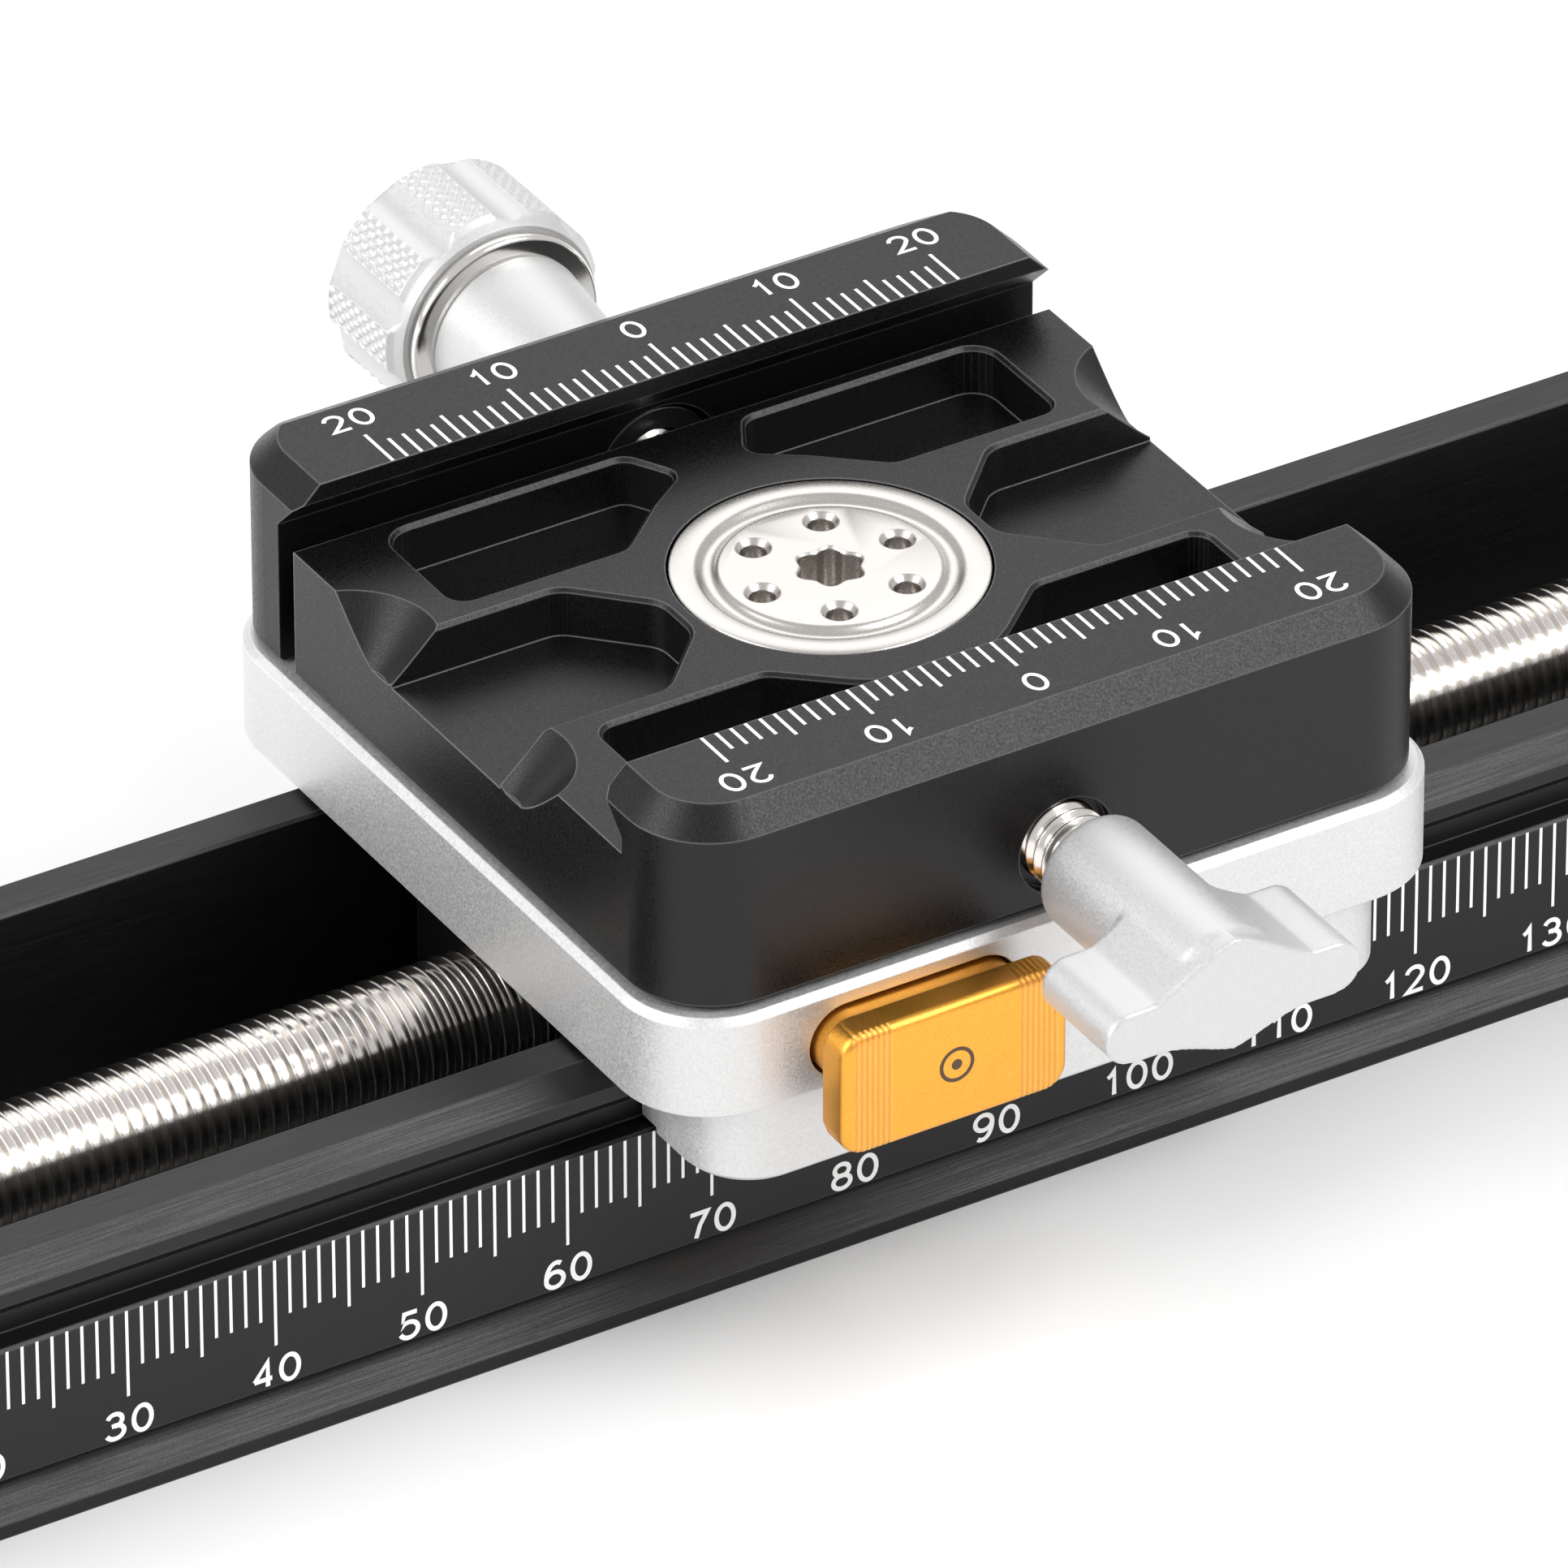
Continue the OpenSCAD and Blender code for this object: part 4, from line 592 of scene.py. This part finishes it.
# Lead screw. Bright rolled steel with a shallow thread of 1 mm pitch, wide at its root, and plain
# journals in the end plates' bushes. It ends under the cap at the left and in the drive knob.
thread_pitch, thread_crest_r, thread_root_r = 1.0, 4.0, 3.55
thread_half_len = 98.03
screw_columns = 64
journal_r, journal_bevel = 3.0, 0.3
screw_low, screw_high = (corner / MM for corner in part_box("lead_screw"))
screw_axis_z = (screw_low.z + screw_high.z) / 2


def along_x(x, y, z):
    """Turns a local axis to +X from the given point."""
    return lambda u, v, w: (x + w, y + v, z - u)


rolled_steel = blasted_material(
    "rolled_screw_steel", colour=(0.8, 0.76, 0.72), worn_and_lit_edge_colour=(0.97, 0.95, 0.93), roughness=0.16,
    metallic=1.0, bump_mm=0.0004, roughness_spread=0.05, colour_spread=0.04,
)
screw_thread = thread_surface(
    thread_pitch, thread_crest_r, thread_root_r, -thread_half_len, thread_half_len, screw_columns,
    along_x(0, 0, screw_axis_z), crest_end=0.1, root_start=0.34, root_end=0.76,
)
screw_journal = turned([
    (journal_r - journal_bevel, screw_low.x), (journal_r, screw_low.x + journal_bevel),
    (journal_r, screw_high.x - journal_bevel), (journal_r - journal_bevel, screw_high.x),
], screw_columns, along_x(0, 0, screw_axis_z))
lead_screw = mesh_piece("lead_screw_threaded", *screw_thread, rolled_steel)
weld(lead_screw, sharp_above_deg=30, close=True)
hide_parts("lead_screw")
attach(lead_screw, "screw")
journal = mesh_piece("lead_screw_journals", *screw_journal, rolled_steel, sharp_above_deg=30)
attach(journal, "screw")

# Drive knob. Turned aluminium with nine smooth flutes and a diamond knurl on the bands between
# them, blasted and clear anodised, fixed on the screw's journal by a set screw.
flutes, flute_r, flute_depth = 9, 2.2, 0.5
sector_columns = 42
knurl_step = 7
knurl_length, knurl_depth, knurl_end_gap = 1.0, 0.2, 0.95
shoulder_drop, shoulder_share = 0.35, 0.6
brow_drop, brow_share = 0.1, 0.86
end_bevel_rows = ((0, 0.9), (0.3, 0.6), (0.6, 0.3), (0.9, 0))
dimple_r, dimple_floor_r, dimple_depth = 2.0, 1.0, 0.35
silver_anodised = blasted_material(
    "silver_anodised", colour=(0.63, 0.63, 0.63), worn_and_lit_edge_colour=(0.86, 0.86, 0.86), roughness=0.46,
    metallic=0.6, grain_per_metre=6500.0, bump_mm=0.01, roughness_spread=0.16, colour_spread=0.05,
)


def knurl_groove(share):
    """How deep a V groove is at this share of the pitch, 1 at its bottom. A third is left flat."""
    from_top = abs(2 * (share % 1) - 1)
    return max(0.0, (from_top - 1 / 3) * 1.5)


def knurled_knob(profile, knurl_rows, full_r, turn_to):
    """A turned knob with flutes cut into every row, and the knurl on the rows named."""
    centre = full_r + flute_r - flute_depth
    columns = flutes * sector_columns

    def radius_at(row, column):
        radius, along = profile[row]
        in_sector = (column + sector_columns // 2) % sector_columns - sector_columns // 2
        angle = 2 * math.pi * in_sector / columns
        hollow = flute_r ** 2 - (centre * math.sin(angle)) ** 2
        flute = centre * math.cos(angle) - math.sqrt(hollow) if hollow > 0 else full_r
        if row in knurl_rows and flute >= full_r:
            across = (column % sector_columns - sector_columns / 2) / knurl_step
            along_share = along / knurl_length
            crossed = max(knurl_groove(across + along_share), knurl_groove(across - along_share))
            radius -= knurl_depth * crossed
        return min(radius, flute) if radius > full_r / 2 else radius

    return turned(profile, columns, turn_to, radius_at)


def knob_rows(neck_rows, near_r, full_r, start, length, bevel):
    """Rows of a knob from its neck to its dimpled end, and the numbers of the knurled ones."""
    rows = neck_rows + [(near_r, start)]
    end = start + length
    shoulder = full_r - shoulder_drop
    for share in (0.25, 0.45, 0.6, 0.72, 0.84, 0.92, 1.0):
        rows.append((near_r + (shoulder - near_r) * share, start + bevel * shoulder_share * share))
    rows += [(full_r - brow_drop, start + bevel * brow_share), (full_r, start + bevel)]
    first = len(rows)
    step = knurl_length / knurl_step
    along = start + bevel + step
    while along < end - knurl_end_gap:
        rows.append((full_r, along))
        along += step
    knurled = range(first, len(rows))
    rows += [(full_r - inward, end - back) for inward, back in end_bevel_rows]
    rows += [(dimple_r, end), (dimple_floor_r, end - dimple_depth)]
    return rows, knurled


def bake(obj):
    """Turns an object's modifiers into its mesh."""
    bpy.context.view_layer.update()
    evaluated = obj.evaluated_get(bpy.context.evaluated_depsgraph_get())
    baked_mesh = bpy.data.meshes.new_from_object(evaluated)
    obj.modifiers.clear()
    obj.data = baked_mesh
    obj.data.shade_smooth()


def cut_from(obj, cutters, sharp_above_deg=30):
    """Cuts closed pieces out of an object and takes them away again."""
    for cutter in cutters:
        step = obj.modifiers.new("cut", "BOOLEAN")
        step.operation = "DIFFERENCE"
        step.solver = "EXACT"
        step.object = cutter
    bake(obj)
    obj.data.set_sharp_from_angle(angle=math.radians(sharp_above_deg))
    for cutter in cutters:
        bpy.data.objects.remove(cutter)


drive_low, drive_high = (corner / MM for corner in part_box("drive_knob"))
drive_r = (drive_high.z - drive_low.z) / 2
drive_neck_r, drive_neck_len, drive_bore_r, drive_bore_depth = 5.5, 3.6, 3.02, 11.6
drive_neck_bevel, drive_bevel = 0.3, 1.6
drive_rows, drive_knurled = knob_rows([
    (drive_bore_r, drive_bore_depth), (drive_bore_r, 0.0),
    (drive_neck_r - drive_neck_bevel, 0.0), (drive_neck_r, drive_neck_bevel),
], drive_neck_r, drive_r, drive_neck_len, drive_high.x - drive_low.x - drive_neck_len, drive_bevel)
drive_knob = mesh_piece(
    "drive_knob_knurled",
    *knurled_knob(drive_rows, drive_knurled, drive_r, along_x(drive_low.x, 0, screw_axis_z)),
    silver_anodised, sharp_above_deg=30,
)
set_screw_low, set_screw_high = (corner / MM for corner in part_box("knob_set_screw"))
set_screw_x = (set_screw_low.x + set_screw_high.x) / 2
set_hole_r, set_hole_floor, set_hole_top, set_hole_columns = 1.52, 2, 9, 32
set_screw_hole = mesh_piece("set_screw_hole", *turned(
    [(set_hole_r, screw_axis_z + set_hole_floor), (set_hole_r, screw_axis_z + set_hole_top)],
    set_hole_columns, lambda u, v, w: (set_screw_x + u, v, w),
), silver_anodised)
cut_from(drive_knob, [set_screw_hole])
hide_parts("drive_knob")
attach(drive_knob, "screw")

# Nut housing. A black anodised aluminium block that hangs from the carriage plate into the
# channel. The lead screw passes through it, and the half nut sits in its pocket.
housing_black = blasted_material(
    "housing_black_anodised", colour=(0.005, 0.005, 0.0053), worn_and_lit_edge_colour=(0.05, 0.05, 0.052),
    roughness=0.4, specular=0.36,
)
finish_node("nut_housing", housing_black)

# Carriage plate. Aluminium milled in one piece with its two skirts, bead blasted and clear
# anodised. The grain shows plainly on its end faces.
plate_silver = blasted_material(
    "plate_silver_anodised", colour=(0.71, 0.71, 0.71), worn_and_lit_edge_colour=(0.97, 0.97, 0.97), roughness=0.48,
    metallic=0.65, grain_per_metre=5500.0, bump_mm=0.016, roughness_spread=0.2, colour_spread=0.08,
)
finish_node("carriage_plate", plate_silver)

# Glide strips and the washer under the clamp. Cut from white acetal sheet, matt, with a faint
# grain. The strips carry the plate on the rail's flat top, and the washer carries the clamp.
white_polymer = blasted_material(
    "white_polymer", colour=(0.75, 0.75, 0.72), worn_and_lit_edge_colour=(0.8, 0.8, 0.78), roughness=0.5,
    bump_mm=0.002,
)
for name in ("glide_strips", "hub_washer"):
    finish_node(name, white_polymer)

# Release button. Aluminium with softly rounded edges, seven fine grip grooves milled across each
# end, blasted and orange anodised. Its neck and fork go through the plate to lift the half nut.
button_low, button_high = (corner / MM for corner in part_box("release_button"))
button_x = (button_low.x + button_high.x) / 2
button_z = (button_low.z + button_high.z) / 2
head_half_w, head_half_h, head_corner_r, head_t = 7.8, 4.25, 1.6, 2.4
head_front_y = button_low.y
head_back_y = head_front_y + head_t
head_edge_r, head_back_r, head_edge_steps = 0.6, 0.25, 6
head_least_corner_r = 0.05
head_flat_stations = (0.75, 1.52)
neck_overlap = 0.05
groove_first_x, groove_pitch, groove_count = 4.6, 0.38, 7
groove_depth, groove_half_top, groove_half_bottom = 0.09, 0.1, 0.03
orange_anodised = blasted_material(
    "orange_anodised", colour=(0.93, 0.42, 0.065), worn_and_lit_edge_colour=(1.0, 0.7, 0.28), roughness=0.36,
    metallic=1.0, bump_mm=0.008, colour_spread=0.12, edge_strength=3.0,
)


def head_half_height(x, inset):
    """Half the head's height at x, on an outline that lies inset from the head's own."""
    corner = max(head_corner_r - inset, head_least_corner_r)
    past = min(max(abs(x) - (head_half_w - inset - corner), 0), corner)
    return head_half_h - inset - corner + math.sqrt(corner ** 2 - past ** 2)


def head_section(x, groove):
    """Outline of the head across X, from its front edge to its back, then back below."""
    room = head_half_w - abs(x)
    first = math.asin(1 - room / head_edge_r) if room < head_edge_r else 0.0
    above = []
    for step in range(head_edge_steps + 1):
        turn = first + (math.pi / 2 - first) * step / head_edge_steps
        inset = head_edge_r * (1 - math.sin(turn)) + groove
        y = head_front_y + head_edge_r * (1 - math.cos(turn)) + groove
        above.append((y, head_half_height(x, inset)))
    above.append((head_back_y - head_back_r, head_half_height(x, 0.0)))
    above.append((head_back_y, head_half_height(x, min(head_back_r, room))))
    return above + [(y, -h) for y, h in reversed(above)]


head_stations = [
    (-head_half_w + head_edge_r * (1 - math.cos(step * math.pi / (2 * head_edge_steps))), 0.0)
    for step in range(head_edge_steps + 1)
]
head_stations += [(-head_half_w + inward, 0.0) for inward in head_flat_stations]
for groove in range(groove_count - 1, -1, -1):
    middle = groove_first_x + groove * groove_pitch
    head_stations += [(-middle - groove_half_top, 0.0), (-middle - groove_half_bottom, groove_depth),
                      (-middle + groove_half_bottom, groove_depth), (-middle + groove_half_top, 0.0)]
head_stations = sorted(head_stations)
head_stations += [(-x, groove) for x, groove in reversed(head_stations)]
head_verts, head_faces = [], []
for x, groove in head_stations:
    head_verts += [(button_x + x, y, button_z + h) for y, h in head_section(x, groove)]
section_len = len(head_section(0, 0.0))
for section in range(0, len(head_verts) - section_len, section_len):
    for point in range(section_len):
        here, beside = section + point, section + (point + 1) % section_len
        head_faces.append((here, beside, beside + section_len, here + section_len))
head_faces.append(tuple(range(section_len)))
head_faces.append(tuple(range(len(head_verts) - section_len, len(head_verts))))
button_head = mesh_piece("release_button_head", head_verts, head_faces, orange_anodised)
weld(button_head, sharp_above_deg=35)
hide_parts("release_button")
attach(button_head, "button")

neck_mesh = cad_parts["release_button"].data.copy()
neck_work = bmesh.new()
neck_work.from_mesh(neck_mesh)
cut_place = Vector((0, (head_back_y - neck_overlap) * MM, 0))
bmesh.ops.bisect_plane(
    neck_work, geom=neck_work.verts[:] + neck_work.edges[:] + neck_work.faces[:], dist=1e-7,
    plane_co=cut_place, plane_no=(0, 1, 0), clear_inner=True,
)
bmesh.ops.holes_fill(neck_work, edges=[e for e in neck_work.edges if e.is_boundary], sides=0)
neck_work.to_mesh(neck_mesh)
neck_work.free()
neck_mesh.materials.clear()
neck_mesh.materials.append(orange_anodised)
button_neck = bpy.data.objects.new("release_button_neck", neck_mesh)
bpy.context.scene.collection.objects.link(button_neck)
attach(button_neck, "button")

# A plain printed ring and dot where the thumb presses
press_ring_in, press_ring_out, press_dot_r, print_t = 0.95, 1.2, 0.36, 0.012
press_ring_columns, press_dot_columns = 64, 32
press_print, press_shader = plain_material("button_print", (0.09, 0.045, 0.02), roughness=0.5)
press_tone = press_print.node_tree.nodes.new("ShaderNodeTexNoise")
press_tone.inputs["Scale"].default_value = 5000
press_rough = math_node(press_print.node_tree, "MULTIPLY_ADD", press_tone.outputs["Fac"], 0.2, 0.4)
press_print.node_tree.links.new(press_rough, press_shader.inputs["Roughness"])


def on_button(u, v, w):
    """A point of the print, w in front of the button's face."""
    return button_x + u, head_front_y - w, button_z + v


press_mark = mesh_piece("release_button_mark", *joined(
    turned([
        (press_ring_in, 0.0), (press_ring_in, print_t),
        (press_ring_out, print_t), (press_ring_out, 0.0),
    ], press_ring_columns, on_button, caps=False),
    turned([(press_dot_r, 0.0), (press_dot_r, print_t)], press_dot_columns, on_button),
), press_print)
weld(press_mark)
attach(press_mark, "button")

# Pivot. A stainless disc and shank turned in one piece, screwed into the carriage plate. It holds
# the clamp down and lets it pan. A hollow ring divides its rim from the middle, which has a six
# lobed drive socket and six pin holes.
pivot_columns = 144
pivot_low, pivot_high = (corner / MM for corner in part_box("hub_axle"))
pivot_top_z = pivot_high.z
disc_r, disc_low_z, shank_r, shank_low_z, spigot_r = 9.77, pivot_top_z - 1.98, 6.0, 25.7, 3.98
spigot_bevel, disc_low_bevel = 0.3, 0.2
disc_rim = [(disc_r, 0.18), (disc_r - 0.05, 0.06), (disc_r - 0.18, 0)]
hollow_ring = [
    (8.3, 0), (8.18, 0.03), (8.02, 0.12), (7.82, 0.27), (7.62, 0.37), (7.42, 0.4), (7.22, 0.37),
    (7.02, 0.27), (6.88, 0.13), (6.76, 0.03), (6.64, 0),
]
pin_holes, pin_hole_columns, first_pin_deg = 6, 40, 5
pin_hole_r, pin_circle_r, pin_hole_depth, pin_bevel = 0.8, 5.05, 1.6, 0.33
drill_point_r, drill_point_len, cutter_rise = 0.05, 0.2, 0.3
socket_middle_r, socket_lobe, socket_lobes, socket_columns = 1.95, 0.2, 6, 96
socket_row_depths, socket_top_flare = (3.0, 1.5, 0.14, -0.31), 0.45
disc_steel = turned_steel_material(
    "turned_disc_steel", (0.58, 0.555, 0.53), roughness=0.29, rings_per_metre=2400,
    ring_bump_mm=0.0006,
)
pivot = mesh_piece("pivot_disc_and_shank", *turned([
    (spigot_r - spigot_bevel, pivot_low.z), (spigot_r, pivot_low.z + spigot_bevel),
    (spigot_r, shank_low_z), (shank_r, shank_low_z), (shank_r, disc_low_z),
    (disc_r - disc_low_bevel, disc_low_z), (disc_r, disc_low_z + disc_low_bevel),
    *[(radius, pivot_top_z - depth) for radius, depth in disc_rim + hollow_ring],
], pivot_columns), disc_steel)
pivot_cutters = []
for hole in range(pin_holes):
    angle = math.radians(first_pin_deg + 360 / pin_holes * hole)
    hole_x, hole_y = pin_circle_r * math.cos(angle), pin_circle_r * math.sin(angle)
    pivot_cutters.append(mesh_piece(f"pin_hole_{hole}", *turned([
        (drill_point_r, -pin_hole_depth - drill_point_len), (pin_hole_r, -pin_hole_depth),
        (pin_hole_r, -pin_bevel), (pin_hole_r + pin_bevel + cutter_rise, cutter_rise),
    ], pin_hole_columns, lambda u, v, w: (hole_x + u, hole_y + v, pivot_top_z + w)), disc_steel))


def socket_radius(row, column):
    """Six lobes, flared on the cutter's top row so that it bevels the socket's edge."""
    flare = socket_top_flare if row == len(socket_row_depths) - 1 else 0.0
    lobe = socket_lobe * math.cos(socket_lobes * 2 * math.pi * column / socket_columns)
    return socket_middle_r + flare + lobe


pivot_cutters.append(mesh_piece("drive_socket", *turned(
    [(socket_middle_r, pivot_top_z - depth) for depth in socket_row_depths],
    socket_columns, radius_at=socket_radius,
), disc_steel))
cut_from(pivot, pivot_cutters, sharp_above_deg=32)
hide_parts("hub_axle")
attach(pivot, "carriage")

# Clamp body. Milled from one block of aluminium: the fixed jaw, the floor with its lightening
# pockets and end scoops, and the bores. Finely blasted and black anodised.


def clamp_finish(name):
    """The finish that the clamp body and the moving jaw have in common."""
    # Its edges are painted far brighter than its black: mostly a painted highlight where the edges
    # catch the light, with some wear.
    return blasted_material(
        name, colour=(0.004, 0.004, 0.0043), worn_and_lit_edge_colour=(0.26, 0.26, 0.265), roughness=0.37,
        specular=0.34, bump_mm=0.018, grain_per_metre=6500.0, roughness_spread=0.2, colour_spread=0.5,
    )


finish_node("clamp_body", clamp_finish("clamp_black_anodised"))

# Clamp scales. A mark each millimetre and numbers from the middle out, laser marked white on
# both jaws. Each scale starts at its jaw's lip, and its numbers read from across the clamp.
jaw_top_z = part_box("clamp_body")[1].z / MM
near_marks_y, far_marks_y = -18.26, 17.7
near_numbers_y, far_numbers_y = -23.29, 23.03
near_lengths, far_lengths = (1.91, 2.56, 3.0), (2.3, 2.9, 3.4)
jaw_mark_w, jaw_number_h, jaw_stroke, last_jaw_mark = 0.22, 2.0, 0.27, 20


def jaw_scale(body, marks_y, lengths, outward, numbers_y, across, upward):
    """The marks and numbers of one jaw, each mark reaching outward from the jaw's lip."""
    marks = []
    for step in range(-last_jaw_mark, last_jaw_mark + 1):
        reach = sorted((marks_y, marks_y + outward * mark_length(step, *lengths)))
        marks.append((
            (step - jaw_mark_w / 2, reach[0], jaw_top_z - mark_proud),
            (step + jaw_mark_w / 2, reach[1], jaw_top_z + mark_proud),
        ))
    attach(join_boxes(f"{body}_scale_marks", marks, scale_white), body)
    scale_numbers(f"{body}_scale_numbers", [
        (str(abs(step)), (step, numbers_y, jaw_top_z))
        for step in range(-last_jaw_mark, last_jaw_mark + 1, 10)
    ], jaw_number_h, jaw_stroke, across, upward, body)


jaw_scale("clamp", near_marks_y, near_lengths, -1, near_numbers_y, (-1, 0, 0), (0, -1, 0))
jaw_scale("jaw", far_marks_y, far_lengths, 1, far_numbers_y, (1, 0, 0), (0, 1, 0))

# Wing screw. A steel stud with a fine thread, and a cast aluminium wing on it whose round barrel
# runs smoothly into the two wings, blasted and clear anodised.
wing_pitch, wing_crest_r, wing_root_r = 0.9, 2.65, 2.22
wing_stud_low, wing_stud_high = (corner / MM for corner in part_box("wing_stud"))
wing_low, wing_high = (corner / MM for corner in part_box("wing_knob"))
wing_z = (wing_stud_low.z + wing_stud_high.z) / 2
barrel_r, wing_tip_r, wing_flank, wing_depth, wing_steps = 3.85, 1.75, 5.4, 7.5, 24
wing_half_span = wing_high.x - wing_tip_r
wing_tip_drop, straight_share, tip_turn_deg, tip_turn_step = 0.65, 0.65, 75, 15
barrel_inset, barrel_back_bevel, barrel_end_bevel, barrel_columns = 1.0, 0.4, 0.3, 96
cast_voxel, cast_smoothing = 0.16, 9


def along_y(x, y, z):
    """Turns a local axis to +Y from the given point."""
    return lambda u, v, w: (x + u, y + w, z - v)


wing_stud = mesh_piece("wing_stud_threaded", *thread_surface(
    wing_pitch, wing_crest_r, wing_root_r, wing_stud_low.y, wing_stud_high.y, thread_columns,
    along_y(0, 0, wing_z),
), rolled_steel)
weld(wing_stud, sharp_above_deg=30, close=True)
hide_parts("wing_stud")
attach(wing_stud, "wing")


def wing_half_thickness(x):
    """A nearly straight flank from the barrel's radius down to the tip's, with a soft foot."""
    share = min(1, abs(x) / wing_flank)
    soft = 0.5 + 0.5 * math.cos(math.pi * share)
    slope = straight_share * (1 - share) + (1 - straight_share) * soft
    return wing_tip_r + (barrel_r - wing_tip_r) * slope


def wing_drop(x):
    """How far the wing's middle line has sunk below the barrel's axis."""
    return wing_tip_drop * min(1, abs(x) / wing_flank) ** 2


wing_outline = []
for step in range(-wing_steps, wing_steps + 1):
    x = wing_half_span * step / wing_steps
    wing_outline.append((x, wing_half_thickness(x)))
for turn in range(tip_turn_deg, -tip_turn_deg - 1, -tip_turn_step):
    a = math.radians(turn)
    wing_outline.append((wing_half_span + wing_tip_r * math.cos(a), wing_tip_r * math.sin(a)))
wing_outline += [(-x, -h) for x, h in wing_outline]
wing_outline = [(x, h - wing_drop(x)) for x, h in wing_outline]
outline_len = len(wing_outline)
wing_faces_y = (wing_low.y, wing_low.y + wing_depth)
wing_slab_verts = [(x, y, wing_z + h) for y in wing_faces_y for x, h in wing_outline]
wing_slab_faces = [
    (i, (i + 1) % outline_len, (i + 1) % outline_len + outline_len, i + outline_len)
    for i in range(outline_len)
]
wing_slab_faces += [tuple(range(outline_len)), tuple(range(2 * outline_len - 1, outline_len - 1, -1))]
barrel = turned([
    (barrel_r - barrel_back_bevel, wing_low.y + barrel_inset),
    (barrel_r, wing_low.y + (barrel_inset + barrel_back_bevel)),
    (barrel_r, wing_high.y - barrel_end_bevel), (barrel_r - barrel_end_bevel, wing_high.y),
], barrel_columns, along_y(0, 0, wing_z))
wing_knob = mesh_piece(
    "wing_screw_cast", *joined((wing_slab_verts, wing_slab_faces), barrel), silver_anodised,
)
weld(wing_knob)
cast = wing_knob.modifiers.new("cast", "REMESH")
cast.mode = "VOXEL"
cast.voxel_size = cast_voxel * MM
soften = wing_knob.modifiers.new("soften", "SMOOTH")
soften.factor = 0.5
soften.iterations = cast_smoothing
bake(wing_knob)
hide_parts("wing_knob")
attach(wing_knob, "wing")

# Moving jaw. Milled and finished like the clamp body, guided by two ground steel pins and drawn
# in by the clamp knob's stud. The half nut's springs have the pins' bright steel.
finish_node("moving_jaw", clamp_finish("jaw_black_anodised"))
pin_steel = blasted_material(
    "ground_pin_steel", colour=(0.68, 0.67, 0.66), worn_and_lit_edge_colour=(0.85, 0.84, 0.83), roughness=0.18,
    metallic=1.0, bump_mm=0.0005, line_stretch=(1, 0.05, 1), line_share=0.8, roughness_spread=0.06,
    colour_spread=0.04,
)
for name in ("guide_pins", "nut_springs"):
    finish_node(name, pin_steel)

# Clamp knob. A threaded steel stud, and a turned aluminium knob on it with a tapered neck, nine
# smooth flutes and knurled bands. A polished steel ring sits between the neck and the knob.
clamp_low, clamp_high = (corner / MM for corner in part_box("clamp_knob"))
stud_low, stud_high = (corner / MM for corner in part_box("clamp_stud"))
knob_axis_z = (stud_low.z + stud_high.z) / 2
clamp_knob_r, neck_jaw_r, neck_ring_r, neck_len, ring_r, ring_t = 7.6, 4.2, 5.4, 10.6, 6.6, 1.0
knob_len = clamp_high.y - clamp_low.y
bore_gap, neck_bevel, neck_end_draft, neck_end_bevel = 0.02, 0.25, 0.02, 0.2
clamp_near_r, clamp_bevel = ring_r + 0.3, 1.0
clamp_bore_r, clamp_bore_depth = 2.52, stud_high.y - clamp_low.y + bore_gap
clamp_rows, clamp_knurled = knob_rows([
    (clamp_bore_r, clamp_bore_depth), (clamp_bore_r, 0.0),
    (neck_jaw_r - neck_bevel, 0.0), (neck_jaw_r, neck_bevel),
    (neck_ring_r - neck_end_draft, neck_len - neck_bevel), (neck_ring_r - neck_end_bevel, neck_len),
    (neck_jaw_r, neck_len), (neck_jaw_r, neck_len + ring_t),
], clamp_near_r, clamp_knob_r, neck_len + ring_t, knob_len - neck_len - ring_t, clamp_bevel)
clamp_knob = mesh_piece(
    "clamp_knob_knurled",
    *knurled_knob(clamp_rows, clamp_knurled, clamp_knob_r, along_y(0, clamp_low.y, knob_axis_z)),
    silver_anodised, sharp_above_deg=30,
)
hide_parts("clamp_knob")
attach(clamp_knob, "knob")

stud_pitch, stud_crest_r, stud_root_r = 1.0, 2.5, 2.05
clamp_stud = mesh_piece("clamp_stud_threaded", *thread_surface(
    stud_pitch, stud_crest_r, stud_root_r, stud_low.y, stud_high.y, thread_columns,
    along_y(0, 0, knob_axis_z),
), rolled_steel)
weld(clamp_stud, sharp_above_deg=30, close=True)
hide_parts("clamp_stud")
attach(clamp_stud, "knob")

polished_steel = blasted_material(
    "polished_ring_steel", colour=(0.78, 0.76, 0.74), worn_and_lit_edge_colour=(0.95, 0.93, 0.9), roughness=0.14,
    metallic=1.0, bump_mm=0.0003, roughness_spread=0.05, colour_spread=0.03,
)
ring_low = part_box("knob_ring")[0] / MM
ring_bore_r, ring_len, ring_columns = neck_jaw_r + bore_gap, 0.94, 128
ring_edge = ((0.35, 0.0), (0.16, 0.06), (0.04, 0.18), (0.0, 0.32))
knob_ring = mesh_piece("knob_ring_polished", *turned([
    (ring_bore_r, ring_len), (ring_bore_r, 0.0),
    *[(ring_r - inward, along) for inward, along in ring_edge],
    *[(ring_r - inward, ring_len - along) for inward, along in reversed(ring_edge)],
    (ring_bore_r, ring_len),
], ring_columns, along_y(0, ring_low.y, knob_axis_z), caps=False), polished_steel)
weld(knob_ring, sharp_above_deg=40)
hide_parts("knob_ring")
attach(knob_ring, "knob")
